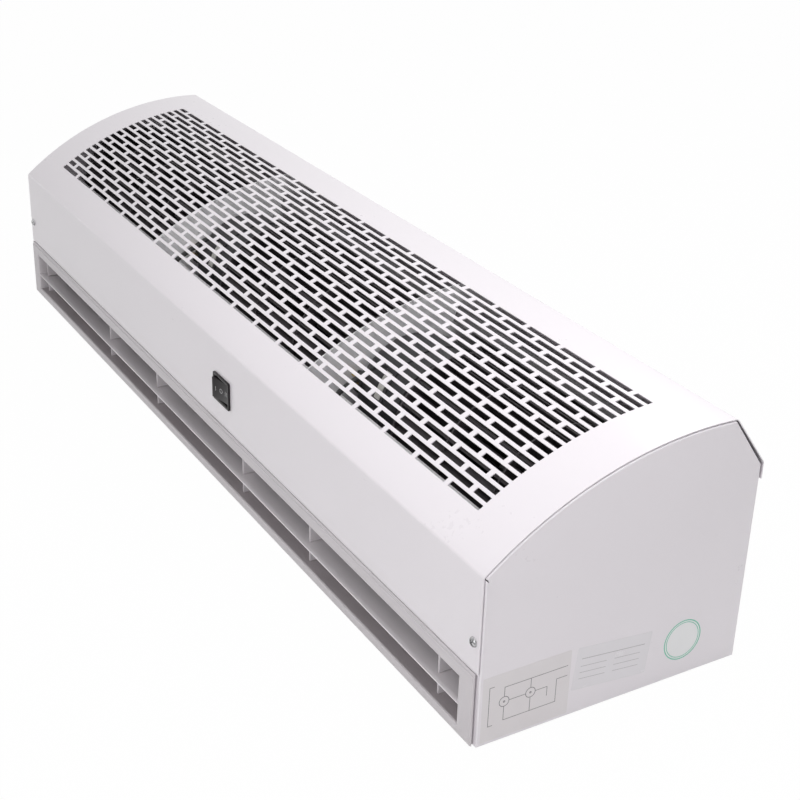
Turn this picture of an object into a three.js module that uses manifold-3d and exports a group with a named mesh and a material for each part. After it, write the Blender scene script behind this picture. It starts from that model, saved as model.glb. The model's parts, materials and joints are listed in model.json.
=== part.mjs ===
// Air curtain: a long sheet-metal cabinet with a slotted intake in its arched top,
// three crossflow impellers on two motors inside, and a louvred outlet along the front foot.
//
// Millimetres. X runs along the cabinet, Y from the outlet face to the rear, Z up.
// The origin is under the middle of the cabinet, on the plane of the wall plate.
import * as THREE from "three";
import { mergeGeometries, mergeVertices } from "three/addons/utils/BufferGeometryUtils.js";
import Module from "manifold-3d";

const wasm = await Module();
wasm.setup();

// Overall sizes
const LENGTH = 900;
const DEPTH = 231;
const HEIGHT = 200;

// Section of the cabinet
const FRONT_HEIGHT = 134; // floor to the crease above the outlet face
const ARCH_RADIUS = 282;
const SHOULDER_RUN = 34; // rear shoulder, along Y
const SHOULDER_FOOT = 158; // lower corner of the sloping rear shoulder
const REAR_LIP = 13;
const SHEET = 1.2; // cabinet sheet
const DUCT_SHEET = 1; // inner sheet
const GAP = 0.3; // between pieces that seat on each other
const ARCH_STEP = 14; // chord along the arch on the pieces under the cover
const END_SETBACK = 2.2; // the cover stops short of the end plates' faces
const END_BEND = 1.2; // bend radius along the end plates' rims
const END_FLANGE = 12;
const SHOULDER_SLOT = 3.5; // dark gap between an end plate and the cover's shoulder
const RELIEF_WIDTH = 1;
const RELIEF_LENGTH = 4.5;

// Intake slots
const GRILLE_FRONT = 29; // crease to the first row, along the arch
const GRILLE_REAR = 33;
const GRILLE_SIDE = 46;
const ROW_PITCH = 7.5;
const SLOT_WIDTH = 4.3;
const SLOT_PITCH = 42.7;
const SLOT_BRIDGE = 4.9;

// Outlet louvre
const LOUVRE_PROUD = 1.8; // in front of the cover
const LOUVRE_LIFT = 1.5;
const LOUVRE_HEIGHT = 58;
const LOUVRE_TOP_BAR = 11.5;
const LOUVRE_FOOT_BAR = 7.5;
const LOUVRE_SIDE_BAR = 17;
const LOUVRE_SIDE_GAP = 1;
const LOUVRE_RIM_DEPTH = 10;
const LOUVRE_WALL = 1.5;
const BLADE_HEIGHT = 25.5; // of the blade's middle, over the floor
const BLADE_DEPTH = 20;
const BLADE_THICKNESS = 2.2;
const BLADE_TAPER = 0.55; // thickness at its edges, as a share of the thickest
const BLADE_SETBACK = 0.2;
const BLADE_NOSE = 4; // the blade tapers to its front edge over this depth
const FIN_THICKNESS = 2;
const FIN_SETBACK = 6;
const FIN_DEPTH = 21;
const FIN_PLACES = [94.5, 216.5, 408]; // from the row's middle, on both sides
const FIN_SHIFT = -12; // of the whole row along X, as the photograph shows it

// Blower
const CHAMBER_DEPTH = 51.5; // front panel to the guide's face, at the axis
const IMPELLER_RADIUS = 60;
const BLADE_COUNT = 16;
const BLADE_CHORD = 12;
const BLADE_RAKE = [0, -7, -10]; // degrees at the tip, the middle and the root
const BLADE_SHEET = 1.2;
const BLADE_INSIDE_DISC = 0.8;
const DISC_SHEET = 2.5;
const TONGUE_GAP = 5.5; // impeller to the front guide
const SCROLL_GAP = 5; // impeller to the scroll, at its leading edge
const SCROLL_GROWTH = 37; // from the leading edge to the floor
const SCROLL_START = 50; // degrees, from +Y towards +Z
const SCROLL_END = -95;
const SCROLL_STEP = 11;
const SCROLL_LIFT = 14; // wall plate's underside to the scroll's lowest turn
const SCROLL_FLARE = 12;
const FLARE_LEAN = 0.35;
const FLOOR_HEIGHT = 6.4; // the scroll's floor, at the outlet
const TONGUE_DROP = 37.7; // shelf to the guide's lip
const GUIDE_STEP = 9;
const SHELF_DROP = 8; // crease to the guide's shelf
const SHELF_FLANGE = 10;
const DUCT_TOP = 50;
const DUCT_FLANGE = 11.5;

// Bays and drive
const PARTITION_X = 157; // each side of the middle
const PARTITION_CLEAR = 1.5; // under the grille
const MOTOR_RADIUS = 52;
const MOTOR_LENGTH = 62;
const MOTOR_BELL = 8;
const BOSS_RADIUS = 16;
const BOSS_LENGTH = 8;
const SHAFT_RADIUS = 4;
const RUNNING_GAP = 0.4;
const HUB_RADIUS = 17;
const HUB_LENGTH = 16;
const SHAFT_SHORT = 1; // a shaft's end stops short of its hub's face
const PIN_SHORT = 1; // and a pin's end short of its plate
const PIN_TAIL = 2; // pin inside the end disc
const END_CLEAR = 6; // impeller's end disc to a motor boss or a bearing seat
const SEAT_RADIUS = 20;
const SEAT_HUB_RADIUS = 13;
const SEAT_LENGTH = 10;
const SEAT_FLANGE = 2;
const BUSH_RADIUS = 8;
const MOTOR_SCREW_CIRCLE = 34;
const MOTOR_SCREW_ANGLES = [90, 270];

// Switch
const SWITCH_X = 54;
const SWITCH_PROUD = 4.5; // rocker's left tip in front of the cover
const BEZEL = { across: 31, tall: 25, thick: 1.8 };
const SWITCH_BODY = { across: 28, tall: 21.6, deep: 24, wall: 1 };
const POCKET = {
  across: SWITCH_BODY.across - 2 * SWITCH_BODY.wall,
  tall: SWITCH_BODY.tall - 2 * SWITCH_BODY.wall,
  deep: 9.5,
};
const ROCKER = {
  side: 0.5,
  end: 0.7,
  belly: 6,
  clear: 2,
  hollow: 0.9,
  waist: 3,
  edge: 1.2,
  pivot: 1,
  tilt: 10,
};
const TAB = { across: 6.3, thick: 0.8, deep: 9, spacing: 8 };

// Wiring inside the front chamber
const TERMINAL_BLOCK = { x: -16, across: 48, deep: 18, tall: 16 };
const CAPACITOR = { across: 47, deep: 18, share: 0.44 }; // of the room above the duct
const CAPACITOR_PLACES = [-205, 265];
const BLOCK_BACK = 11; // front of the blocks behind the cover's front panel
const SLEEVE_RADIUS = 2.5;
const LEAD_RADIUS = 1.2;
const SLEEVE_HOLE = 4.7;
const MOTOR_LEAD_OFFSET = 32; // from a partition to its motor's lead
const GROMMET_BACK = 29;
const ENTRY = { x: -300, height: 100, hole: 8, skin: 1, lip: 1.2, wall: 3 }; // rear wall, blank
const GROMMET = { lip: 2, rim: 1.5, bore: SLEEVE_RADIUS + 2 * GAP };

const SWITCH_LEAD = {
  fromTab: [
    [0, 0, 0],
    [0, 4, 0.5],
    [-6, 8, 4],
  ],
  bow: [-18, 4],
  toBlock: [
    [12, 6, -2],
    [4, 0, 0],
    [0, 0, 0],
  ],
  spread: 2,
  inset: 3,
};
const MOTOR_LEAD = {
  fromBlock: [
    [0, 4],
    [8, 5],
  ],
  alongShelf: { turn: 26, rows: [8, 6] },
  under: 6, // the shelf
  toHole: [
    [30, 3, -6],
    [14, 1, -14],
    [4, 0, -14],
    [0, 0, -8],
    [0, 0, 0],
    [0, 0, 7],
    [0, 5, 14],
  ],
  arch: 25,
  entry: 135, // degrees, on the motor's side
  straight: 6,
};

// Screws
const SCREW = { head: 3.7, rise: 2.2, rim: 1, crown: 2.2, shank: 2, hole: 2.3 };
const COVER_SCREW = { inset: 8, height: 82, length: 10 };
const BASE_SCREW_PLACES = [45, 190]; // behind the cover's front panel
const MOTOR_SCREW_LENGTH = 9;
const WALL_HOLE = { radius: 2.75, x: 380, front: 60, rear: 195 };

// Flat sides that stand for round ones
const SIDES = { hole: 12, screw: 10, shaft: 16, bearing: 16, motor: 20, disc: 24, lead: 8 };
const LEAD_STEPS = { switch: 14, motor: 24 };

const PAINT = { color: 0xe9e6ea, roughness: 0.28, metalness: 0 };
const LOUVRE_PLASTIC = { color: 0xc9c5c8, roughness: 0.42, metalness: 0 };
const ZINC = { color: 0xb9bcbe, roughness: 0.38, metalness: 0.85 };
const BLACK_PLASTIC = { color: 0x17161a, roughness: 0.45, metalness: 0 };
const GLOSS_BLACK = { color: 0x1b181c, roughness: 0.18, metalness: 0 };
const MOTOR_STEEL = { color: 0x3a3a3e, roughness: 0.5, metalness: 0.6 };
const STEEL = { color: 0xc6c6c8, roughness: 0.25, metalness: 1 };
const BRONZE = { color: 0xb08a4e, roughness: 0.4, metalness: 0.9 };
const BRASS = { color: 0xd0ac55, roughness: 0.35, metalness: 0.95 };
const RUBBER = { color: 0x222124, roughness: 0.8, metalness: 0 };
const BLUE_LEAD = { color: 0x2a57b8, roughness: 0.5, metalness: 0 };
const WHITE_PLASTIC = { color: 0xe8e6e0, roughness: 0.5, metalness: 0 };

// Planes that the pieces share
const END_X = LENGTH / 2;
const COVER_X = END_X - END_SETBACK;
const PLATE_X = END_X - SHEET; // inner face of an end plate
const DUCT_X = PLATE_X - GAP;
const PANEL_Y = -DEPTH / 2 + SWITCH_PROUD;
const REAR_Y = DEPTH / 2;
const WALL_Y = REAR_Y - SHEET - GAP; // outer face of the base's rear wall
const INSET = SHEET + GAP; // end plates lie this far inside the cover and the base
const INNER_FRONT_Y = PANEL_Y + 2 * INSET; // behind the end plates' front flanges
const TONGUE_RADIUS = IMPELLER_RADIUS + TONGUE_GAP;
const AXIS_Y = PANEL_Y + CHAMBER_DEPTH + TONGUE_RADIUS;
const AXIS_HEIGHT = IMPELLER_RADIUS + SCROLL_GAP + SCROLL_GROWTH + SCROLL_LIFT;
const SHELF_HEIGHT = FRONT_HEIGHT - SHELF_DROP;
const SWITCH_HEIGHT = (LOUVRE_LIFT + LOUVRE_HEIGHT + GAP + SHELF_HEIGHT) / 2;
const BASE_LIP = FLOOR_HEIGHT - DUCT_SHEET - GAP;
const ARCH_RUN = DEPTH - SHOULDER_RUN;
const ARCH_Y = PANEL_Y + Math.sqrt(ARCH_RADIUS ** 2 - (ARCH_RADIUS - HEIGHT + FRONT_HEIGHT) ** 2);
const ARCH_Z = HEIGHT - ARCH_RADIUS;
const CREASE_ANGLE = Math.atan2(FRONT_HEIGHT - ARCH_Z, PANEL_Y - ARCH_Y);
const SHOULDER_ANGLE = Math.acos((PANEL_Y + ARCH_RUN - ARCH_Y) / ARCH_RADIUS);
const ARCH_LENGTH = ARCH_RADIUS * (CREASE_ANGLE - SHOULDER_ANGLE);
const OPENING = {
  x: COVER_X - LOUVRE_SIDE_GAP - LOUVRE_SIDE_BAR,
  foot: LOUVRE_LIFT + LOUVRE_FOOT_BAR,
  top: LOUVRE_LIFT + LOUVRE_HEIGHT - LOUVRE_TOP_BAR,
};
const LOUVRE_FRONT_Y = PANEL_Y - LOUVRE_PROUD;

// Lays an outline drawn in (y, z) on the YZ plane, with its thickness along X.
const ACROSS = new THREE.Matrix4().makeBasis(
  new THREE.Vector3(0, 1, 0),
  new THREE.Vector3(0, 0, 1),
  new THREE.Vector3(1, 0, 0),
);

function bare(geometry) {
  const copy = geometry.index ? geometry.toNonIndexed() : geometry.clone();
  copy.deleteAttribute("normal");
  copy.deleteAttribute("uv");
  return copy;
}

function solid(geometry) {
  const merged = mergeVertices(bare(geometry), 1e-4);
  const vertProperties = merged.attributes.position.array;
  const triVerts = new Uint32Array(merged.index.array);
  return new wasm.Manifold(new wasm.Mesh({ numProp: 3, vertProperties, triVerts }));
}

function geometryOf(body) {
  const { vertProperties, triVerts } = body.getMesh();
  const geometry = new THREE.BufferGeometry();
  geometry.setAttribute("position", new THREE.BufferAttribute(vertProperties, 3));
  geometry.setIndex(new THREE.BufferAttribute(triVerts, 1));
  return geometry;
}

function cut(geometry, ...tools) {
  const body = tools.reduce((rest, tool) => rest.subtract(solid(tool)), solid(geometry));
  return geometryOf(body);
}

function join(geometry, ...others) {
  const body = others.reduce((whole, other) => whole.add(solid(other)), solid(geometry));
  return geometryOf(body);
}

function many(geometries) {
  return mergeGeometries(geometries.map(bare));
}

const model = new THREE.Group();

function piece(name, geometry, finish) {
  const shown = bare(geometry);
  shown.computeVertexNormals();
  const mesh = new THREE.Mesh(shown, new THREE.MeshStandardMaterial(finish));
  mesh.name = name;
  model.add(mesh);
}

function box(x0, x1, y0, y1, z0, z1) {
  const geometry = new THREE.BoxGeometry(x1 - x0, y1 - y0, z1 - z0);
  return geometry.translate((x0 + x1) / 2, (y0 + y1) / 2, (z0 + z1) / 2);
}

// A closed outline in (y, z), drawn out along X from x0 to x1.
function prism(outline, x0, x1, rounding = 0) {
  const shape = new THREE.Shape(outline.map(([y, z]) => new THREE.Vector2(y, z)));
  const geometry = new THREE.ExtrudeGeometry(shape, {
    depth: x1 - x0 - 2 * rounding,
    bevelEnabled: rounding > 0,
    bevelThickness: rounding,
    bevelSize: rounding,
    bevelOffset: -rounding,
    bevelSegments: 1,
  });
  return geometry.translate(0, 0, x0 + rounding).applyMatrix4(ACROSS);
}

// A path moved sideways by a distance, to the left of its direction, with mitred corners.
function beside(path, distance) {
  const normals = path.slice(1).map(([y, z], i) => {
    const along = new THREE.Vector2(y - path[i][0], z - path[i][1]).normalize();
    return new THREE.Vector2(-along.y, along.x);
  });
  return path.map(([y, z], i) => {
    const before = normals[Math.max(i - 1, 0)];
    const after = normals[Math.min(i, normals.length - 1)];
    const mitre = before.clone().add(after);
    mitre.multiplyScalar(distance / (1 + before.dot(after)));
    return [y + mitre.x, z + mitre.y];
  });
}

// The section of a sheet bent along a path, with its thickness to the path's left.
function bent(path, thickness) {
  return [...path, ...beside(path, thickness).reverse()];
}

// A profile of (radius, place) pairs turned about the Y axis.
function turned(profile, sides) {
  const points = profile.map(([radius, place]) => new THREE.Vector2(radius, place));
  return new THREE.LatheGeometry(points, sides);
}

// The same, about the line through (y, z) along X.
function turnedX(profile, y, z, sides) {
  return turned(profile, sides).rotateZ(-Math.PI / 2).translate(0, y, z);
}

function rod(radius, x0, x1, y, z, sides) {
  const geometry = new THREE.CylinderGeometry(radius, radius, x1 - x0, sides);
  return geometry.rotateZ(Math.PI / 2).translate((x0 + x1) / 2, y, z);
}

function polar(radius, degrees) {
  const angle = THREE.MathUtils.degToRad(degrees);
  return [AXIS_Y + radius * Math.cos(angle), AXIS_HEIGHT + radius * Math.sin(angle)];
}

// Steps from one value to another, both included, none longer than the longest.
function steps(from, to, longest) {
  const count = Math.max(1, Math.ceil(Math.abs(to - from) / longest));
  return Array.from({ length: count + 1 }, (_, i) => from + ((to - from) * i) / count);
}

// The arch, on the cover's outer surface, by the distance from the front crease.
function archPoint(distance) {
  const angle = CREASE_ANGLE - distance / ARCH_RADIUS;
  return [ARCH_Y + ARCH_RADIUS * Math.cos(angle), ARCH_Z + ARCH_RADIUS * Math.sin(angle)];
}

const ROWS = Math.floor((ARCH_LENGTH - GRILLE_FRONT - GRILLE_REAR) / ROW_PITCH);
const COLUMNS = Math.floor((LENGTH - 2 * GRILLE_SIDE + SLOT_BRIDGE) / SLOT_PITCH);
const ROW_EDGES = steps(GRILLE_FRONT, GRILLE_FRONT + ROWS * ROW_PITCH, ROW_PITCH + 0.01);

// Each slot row lies in a flat facet between two bar centres.
function archStations() {
  const front = steps(0, GRILLE_FRONT, ROW_PITCH).slice(0, -1);
  const rear = steps(ROW_EDGES.at(-1), ARCH_LENGTH, ROW_PITCH).slice(1);
  return [...front, ...ROW_EDGES, ...rear];
}

// The cover's outer surface, from the louvre's top over the arch to the rear lip.
function coverPath() {
  return [
    [PANEL_Y, LOUVRE_LIFT + LOUVRE_HEIGHT + GAP],
    ...archStations().map(archPoint),
    [REAR_Y, SHOULDER_FOOT],
    [REAR_Y, SHOULDER_FOOT - REAR_LIP],
  ];
}

function slotRow(row) {
  const slot = SLOT_PITCH - SLOT_BRIDGE;
  const half = (slot - SLOT_BRIDGE) / 2;
  const start = -(COLUMNS * SLOT_PITCH - SLOT_BRIDGE) / 2;
  const end = -start;
  const spans = [];
  if (row % 2 === 1) {
    spans.push([start, start + half]);
    spans.push([end - half, end]);
  }
  const first = row % 2 === 1 ? start + half + SLOT_BRIDGE : start;
  const count = row % 2 === 1 ? COLUMNS - 1 : COLUMNS;
  for (let i = 0; i < count; i++) {
    spans.push([first + i * SLOT_PITCH, first + i * SLOT_PITCH + slot]);
  }
  const front = archPoint(ROW_EDGES[row]);
  const rear = archPoint(ROW_EDGES[row + 1]);
  const tilt = Math.atan2(rear[1] - front[1], rear[0] - front[0]);
  return spans.map(([x0, x1]) => {
    const slit = new THREE.BoxGeometry(x1 - x0, SLOT_WIDTH, 4 * SHEET).rotateX(tilt);
    return slit.translate((x0 + x1) / 2, (front[0] + rear[0]) / 2, (front[1] + rear[1]) / 2);
  });
}

function drillY(radius, x, y0, y1, z) {
  const geometry = new THREE.CylinderGeometry(radius, radius, y1 - y0, SIDES.hole);
  return geometry.translate(x, (y0 + y1) / 2, z);
}

function drillZ(radius, x, y, z0, z1) {
  const geometry = new THREE.CylinderGeometry(radius, radius, z1 - z0, SIDES.hole);
  return geometry.rotateX(Math.PI / 2).translate(x, y, (z0 + z1) / 2);
}

function coverScrewX() {
  return END_X - COVER_SCREW.inset;
}

function makeCover() {
  const sheet = prism(bent(coverPath(), -SHEET), -COVER_X, COVER_X);
  const slots = ROW_EDGES.slice(1).flatMap((_, row) => slotRow(row));
  const y0 = PANEL_Y - SHEET;
  const y1 = PANEL_Y + 2 * SHEET;
  const halfAcross = SWITCH_BODY.across / 2 + GAP;
  const halfTall = SWITCH_BODY.tall / 2 + GAP;
  const window = box(
    SWITCH_X - halfAcross,
    SWITCH_X + halfAcross,
    y0,
    y1,
    SWITCH_HEIGHT - halfTall,
    SWITCH_HEIGHT + halfTall,
  );
  const left = drillY(SCREW.hole, -coverScrewX(), y0, y1, COVER_SCREW.height);
  const right = drillY(SCREW.hole, coverScrewX(), y0, y1, COVER_SCREW.height);
  piece("cover", cut(sheet, many(slots), window, left, right), PAINT);
}

// An end plate's rim: inside the cover, and inside the base at the rear and the foot.
function rimPath() {
  const shoulder = ARCH_LENGTH - SHOULDER_SLOT;
  const arch = steps(shoulder, 0, ARCH_STEP).map(archPoint);
  const inner = beside([...arch, [PANEL_Y, 0]], INSET).slice(0, -1);
  return [...inner, [PANEL_Y + INSET, INSET], [WALL_Y - INSET, INSET], shoulderFoot()];
}

function shoulderFoot() {
  return [WALL_Y - INSET, SHOULDER_FOOT - SHOULDER_SLOT];
}

function makeEndPlate(name, side) {
  const rim = rimPath();
  const outer = END_X;
  const block = prism(rim, outer - 3 * END_FLANGE, outer, END_BEND);
  const hollow = prism(beside([...rim, rim[0]], SHEET).slice(0, -1), outer - 4 * END_FLANGE, PLATE_X);
  const rest = box(outer - 4 * END_FLANGE, outer - END_FLANGE, -DEPTH, DEPTH, -HEIGHT, 2 * HEIGHT);
  const [crestY, crestZ] = rim[0];
  const [footY, footZ] = shoulderFoot();
  const slope = [
    [crestY - SHEET, crestZ + SHEET],
    [crestY - SHEET, crestZ - 3 * SHEET],
    [footY - 3 * SHEET, footZ - SHEET],
    [footY + SHEET, footZ - SHEET],
    [footY + SHEET, crestZ + SHEET],
  ];
  const open = prism(slope, outer - 4 * END_FLANGE, PLATE_X);
  const relief = new THREE.BoxGeometry(4 * END_FLANGE, 2 * RELIEF_LENGTH, RELIEF_WIDTH)
    .rotateX(-Math.PI / 4)
    .translate(outer, PANEL_Y + INSET, FRONT_HEIGHT - INSET);
  const tools = [hollow, rest, open, relief];
  tools.push(drillY(SCREW.hole, coverScrewX(), PANEL_Y, PANEL_Y + 4 * INSET, COVER_SCREW.height));
  for (const back of BASE_SCREW_PLACES) {
    tools.push(drillZ(SCREW.hole, baseScrewX(), PANEL_Y + back, 0, 4 * INSET));
  }
  const plate = cut(block, ...tools);
  piece(name, side < 0 ? mirrored(plate) : plate, PAINT);
}

// The same shape on the other side of the middle, with its faces still pointing out.
function mirrored(geometry) {
  const flipped = bare(geometry).scale(-1, 1, 1);
  const position = flipped.attributes.position;
  const corners = Array.from({ length: position.count }, (_, i) => i);
  for (let i = 0; i < corners.length; i += 3) {
    [corners[i + 1], corners[i + 2]] = [corners[i + 2], corners[i + 1]];
  }
  flipped.setIndex(corners);
  return flipped.toNonIndexed();
}

function baseScrewX() {
  return END_X - END_FLANGE / 2;
}

// The front lip makes room for the end plates' foot flanges.
function lipNotch() {
  const front = INNER_FRONT_Y - SHEET;
  const back = INNER_FRONT_Y + 2 * SHEET;
  return [
    [front, SHEET],
    [back, SHEET],
    [back, BASE_LIP + SHEET],
    [front, BASE_LIP + SHEET],
  ];
}

// The wall plate with its rear wall and its front lip, in one bent sheet.
function makeBase() {
  const path = [
    [WALL_Y, SHOULDER_FOOT - REAR_LIP / 2],
    [WALL_Y, 0],
    [INNER_FRONT_Y, 0],
    [INNER_FRONT_Y, BASE_LIP],
  ];
  const tools = [];
  for (const side of [-1, 1]) {
    for (const back of BASE_SCREW_PLACES) {
      tools.push(drillZ(SCREW.hole, side * baseScrewX(), PANEL_Y + back, -SHEET, 2 * SHEET));
    }
    for (const back of [WALL_HOLE.front, WALL_HOLE.rear]) {
      tools.push(drillZ(WALL_HOLE.radius, side * WALL_HOLE.x, PANEL_Y + back, -SHEET, 2 * SHEET));
    }
  }
  tools.push(drillY(ENTRY.hole, ENTRY.x, WALL_Y - 2 * SHEET, REAR_Y, ENTRY.height));
  const bend = prism(bent(path, -SHEET), -COVER_X, COVER_X);
  const lip = prism(lipNotch(), END_X - END_FLANGE - GAP, END_X);
  piece("wall_plate", cut(bend, ...tools, lip, mirrored(lip)), PAINT);
}

function makeLouvre() {
  const back = PANEL_Y + SHEET;
  const deep = LOUVRE_FRONT_Y + LOUVRE_RIM_DEPTH;
  const { x, foot, top } = OPENING;
  const half = x + LOUVRE_SIDE_BAR;
  const plate = box(-half, half, LOUVRE_FRONT_Y, back, LOUVRE_LIFT, LOUVRE_LIFT + LOUVRE_HEIGHT);
  const wall = LOUVRE_WALL;
  const rim = box(-x - wall, x + wall, back - 1, deep, foot - wall, top + wall);
  const hole = box(-x, x, LOUVRE_FRONT_Y - 1, deep + 1, foot, top);
  const socket = prism(bladeSection(GAP), -x - wall / 2 - GAP, x + wall / 2 + GAP);
  piece("outlet_louvre", cut(join(plate, rim), hole, socket), LOUVRE_PLASTIC);
  piece("outlet_blade", prism(bladeSection(0), -x - wall / 2, x + wall / 2), LOUVRE_PLASTIC);
}

// The blade seats in a socket at each side of the louvre's frame.
function bladeSection(clear) {
  const edge = LOUVRE_FRONT_Y + BLADE_SETBACK;
  const thick = BLADE_THICKNESS / 2;
  const thin = thick * BLADE_TAPER + clear;
  const nose = edge + BLADE_NOSE;
  const back = edge + BLADE_DEPTH + clear;
  return [
    [edge - clear, BLADE_HEIGHT + thin],
    [edge - clear, BLADE_HEIGHT - thin],
    [nose, BLADE_HEIGHT - thick - clear],
    [back, BLADE_HEIGHT - thin],
    [back, BLADE_HEIGHT + thin],
    [nose, BLADE_HEIGHT + thick + clear],
  ];
}

// Upright fins that slot over the blade from behind.
function makeFins() {
  const front = LOUVRE_FRONT_Y + FIN_SETBACK;
  const slotEnd = LOUVRE_FRONT_Y + BLADE_SETBACK + BLADE_DEPTH + GAP;
  const notch = BLADE_THICKNESS / 2 + GAP;
  const places = [...FIN_PLACES.map((x) => -x).reverse(), ...FIN_PLACES].map((x) => x + FIN_SHIFT);
  places.forEach((x, i) => {
    const x0 = x - FIN_THICKNESS / 2;
    const x1 = x + FIN_THICKNESS / 2;
    const outline = [
      [front, OPENING.foot + GAP],
      [front + FIN_DEPTH, OPENING.foot + GAP],
      [front + FIN_DEPTH, OPENING.top - GAP],
      [front, OPENING.top - GAP],
      [front, BLADE_HEIGHT + notch],
      [slotEnd, BLADE_HEIGHT + notch],
      [slotEnd, BLADE_HEIGHT - notch],
      [front, BLADE_HEIGHT - notch],
    ];
    piece(`outlet_fin_${i + 1}`, prism(outline, x0, x1), LOUVRE_PLASTIC);
  });
}

// The scroll's inner surface: flared leading edge, widening spiral, floor to the outlet.
function scrollPath() {
  const lead = IMPELLER_RADIUS + SCROLL_GAP;
  const spiral = steps(SCROLL_START, SCROLL_END, SCROLL_STEP).map((degrees) => {
    const share = (SCROLL_START - degrees) / (SCROLL_START - SCROLL_END);
    return polar(lead + SCROLL_GROWTH * share, degrees);
  });
  const [y, z] = spiral[0];
  const flare = [y + SCROLL_FLARE * FLARE_LEAN, z + SCROLL_FLARE];
  return [flare, ...spiral, [INNER_FRONT_Y, FLOOR_HEIGHT]];
}

// Where the guide's curved face is at a height, in degrees about the impellers' axis.
function guideAngle(height) {
  const rise = (height - AXIS_HEIGHT) / TONGUE_RADIUS;
  return 180 - THREE.MathUtils.radToDeg(Math.asin(rise));
}

function guideStart() {
  return guideAngle(SHELF_HEIGHT);
}

function guideFoot() {
  return guideAngle(SHELF_HEIGHT - TONGUE_DROP);
}

// The front guide's outer surface: shelf, curved face along the impellers, lip, duct roof.
function guidePath() {
  return [
    [INNER_FRONT_Y, SHELF_HEIGHT - SHELF_FLANGE],
    [INNER_FRONT_Y, SHELF_HEIGHT],
    ...steps(guideStart(), guideFoot(), GUIDE_STEP).map((degrees) => polar(TONGUE_RADIUS, degrees)),
    [INNER_FRONT_Y, DUCT_TOP],
    [INNER_FRONT_Y, DUCT_TOP + DUCT_FLANGE],
  ];
}

function leadHoleY() {
  return PANEL_Y + GROMMET_BACK;
}

function motorLeadX(side) {
  return side * PARTITION_X + MOTOR_LEAD_OFFSET;
}

function makeDucts() {
  piece("scroll", prism(bent(scrollPath(), DUCT_SHEET), -DUCT_X, DUCT_X), ZINC);
  const guide = prism(bent(guidePath(), -DUCT_SHEET), -DUCT_X, DUCT_X);
  const holes = [-1, 1].map((side) => {
    const z0 = SHELF_HEIGHT - 3 * DUCT_SHEET;
    return drillZ(SLEEVE_HOLE, motorLeadX(side), leadHoleY(), z0, SHELF_HEIGHT + DUCT_SHEET);
  });
  piece("front_guide", cut(guide, ...holes), ZINC);
}

// A partition closes the intake side of the section and hooks over the scroll.
function makePartition(name, side) {
  const clear = SHEET + PARTITION_CLEAR;
  const arch = beside(steps(0, ARCH_LENGTH, ARCH_STEP).map(archPoint), -clear).slice(1);
  const lip = polar(TONGUE_RADIUS, guideFoot());
  const outline = [
    [INNER_FRONT_Y + GAP, SHELF_HEIGHT + GAP],
    [INNER_FRONT_Y + GAP, FRONT_HEIGHT - clear],
    ...arch,
    [WALL_Y - SHEET - GAP, SHOULDER_FOOT - clear],
    [WALL_Y - SHEET - GAP, SHEET + GAP],
    [AXIS_Y, SHEET + GAP],
    [AXIS_Y, AXIS_HEIGHT - IMPELLER_RADIUS - SCROLL_GROWTH],
    [lip[0] + GAP, lip[1]],
    [polar(TONGUE_RADIUS, guideStart())[0], SHELF_HEIGHT + GAP],
  ];
  const x0 = side * PARTITION_X - SHEET / 2;
  const x1 = side * PARTITION_X + SHEET / 2;
  const overlong = 2 * SHEET;
  const slit = bent(beside(scrollPath(), -GAP), DUCT_SHEET + 2 * GAP);
  const guide = bent(beside(guidePath(), GAP), -DUCT_SHEET - GAP);
  const tools = [prism(slit, x0 - overlong, x1 + overlong), prism(guide, x0 - overlong, x1 + overlong)];
  if (side < 0) {
    tools.push(rod(BOSS_RADIUS + GAP, x0 - overlong, x1 + overlong, AXIS_Y, AXIS_HEIGHT, SIDES.disc));
  }
  for (const angle of MOTOR_SCREW_ANGLES) {
    const [y, z] = polar(MOTOR_SCREW_CIRCLE, angle);
    tools.push(rod(SCREW.hole, x0 - overlong, x1 + overlong, y, z, SIDES.hole));
  }
  piece(name, cut(prism(outline, x0, x1), ...tools), ZINC);
}

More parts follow.
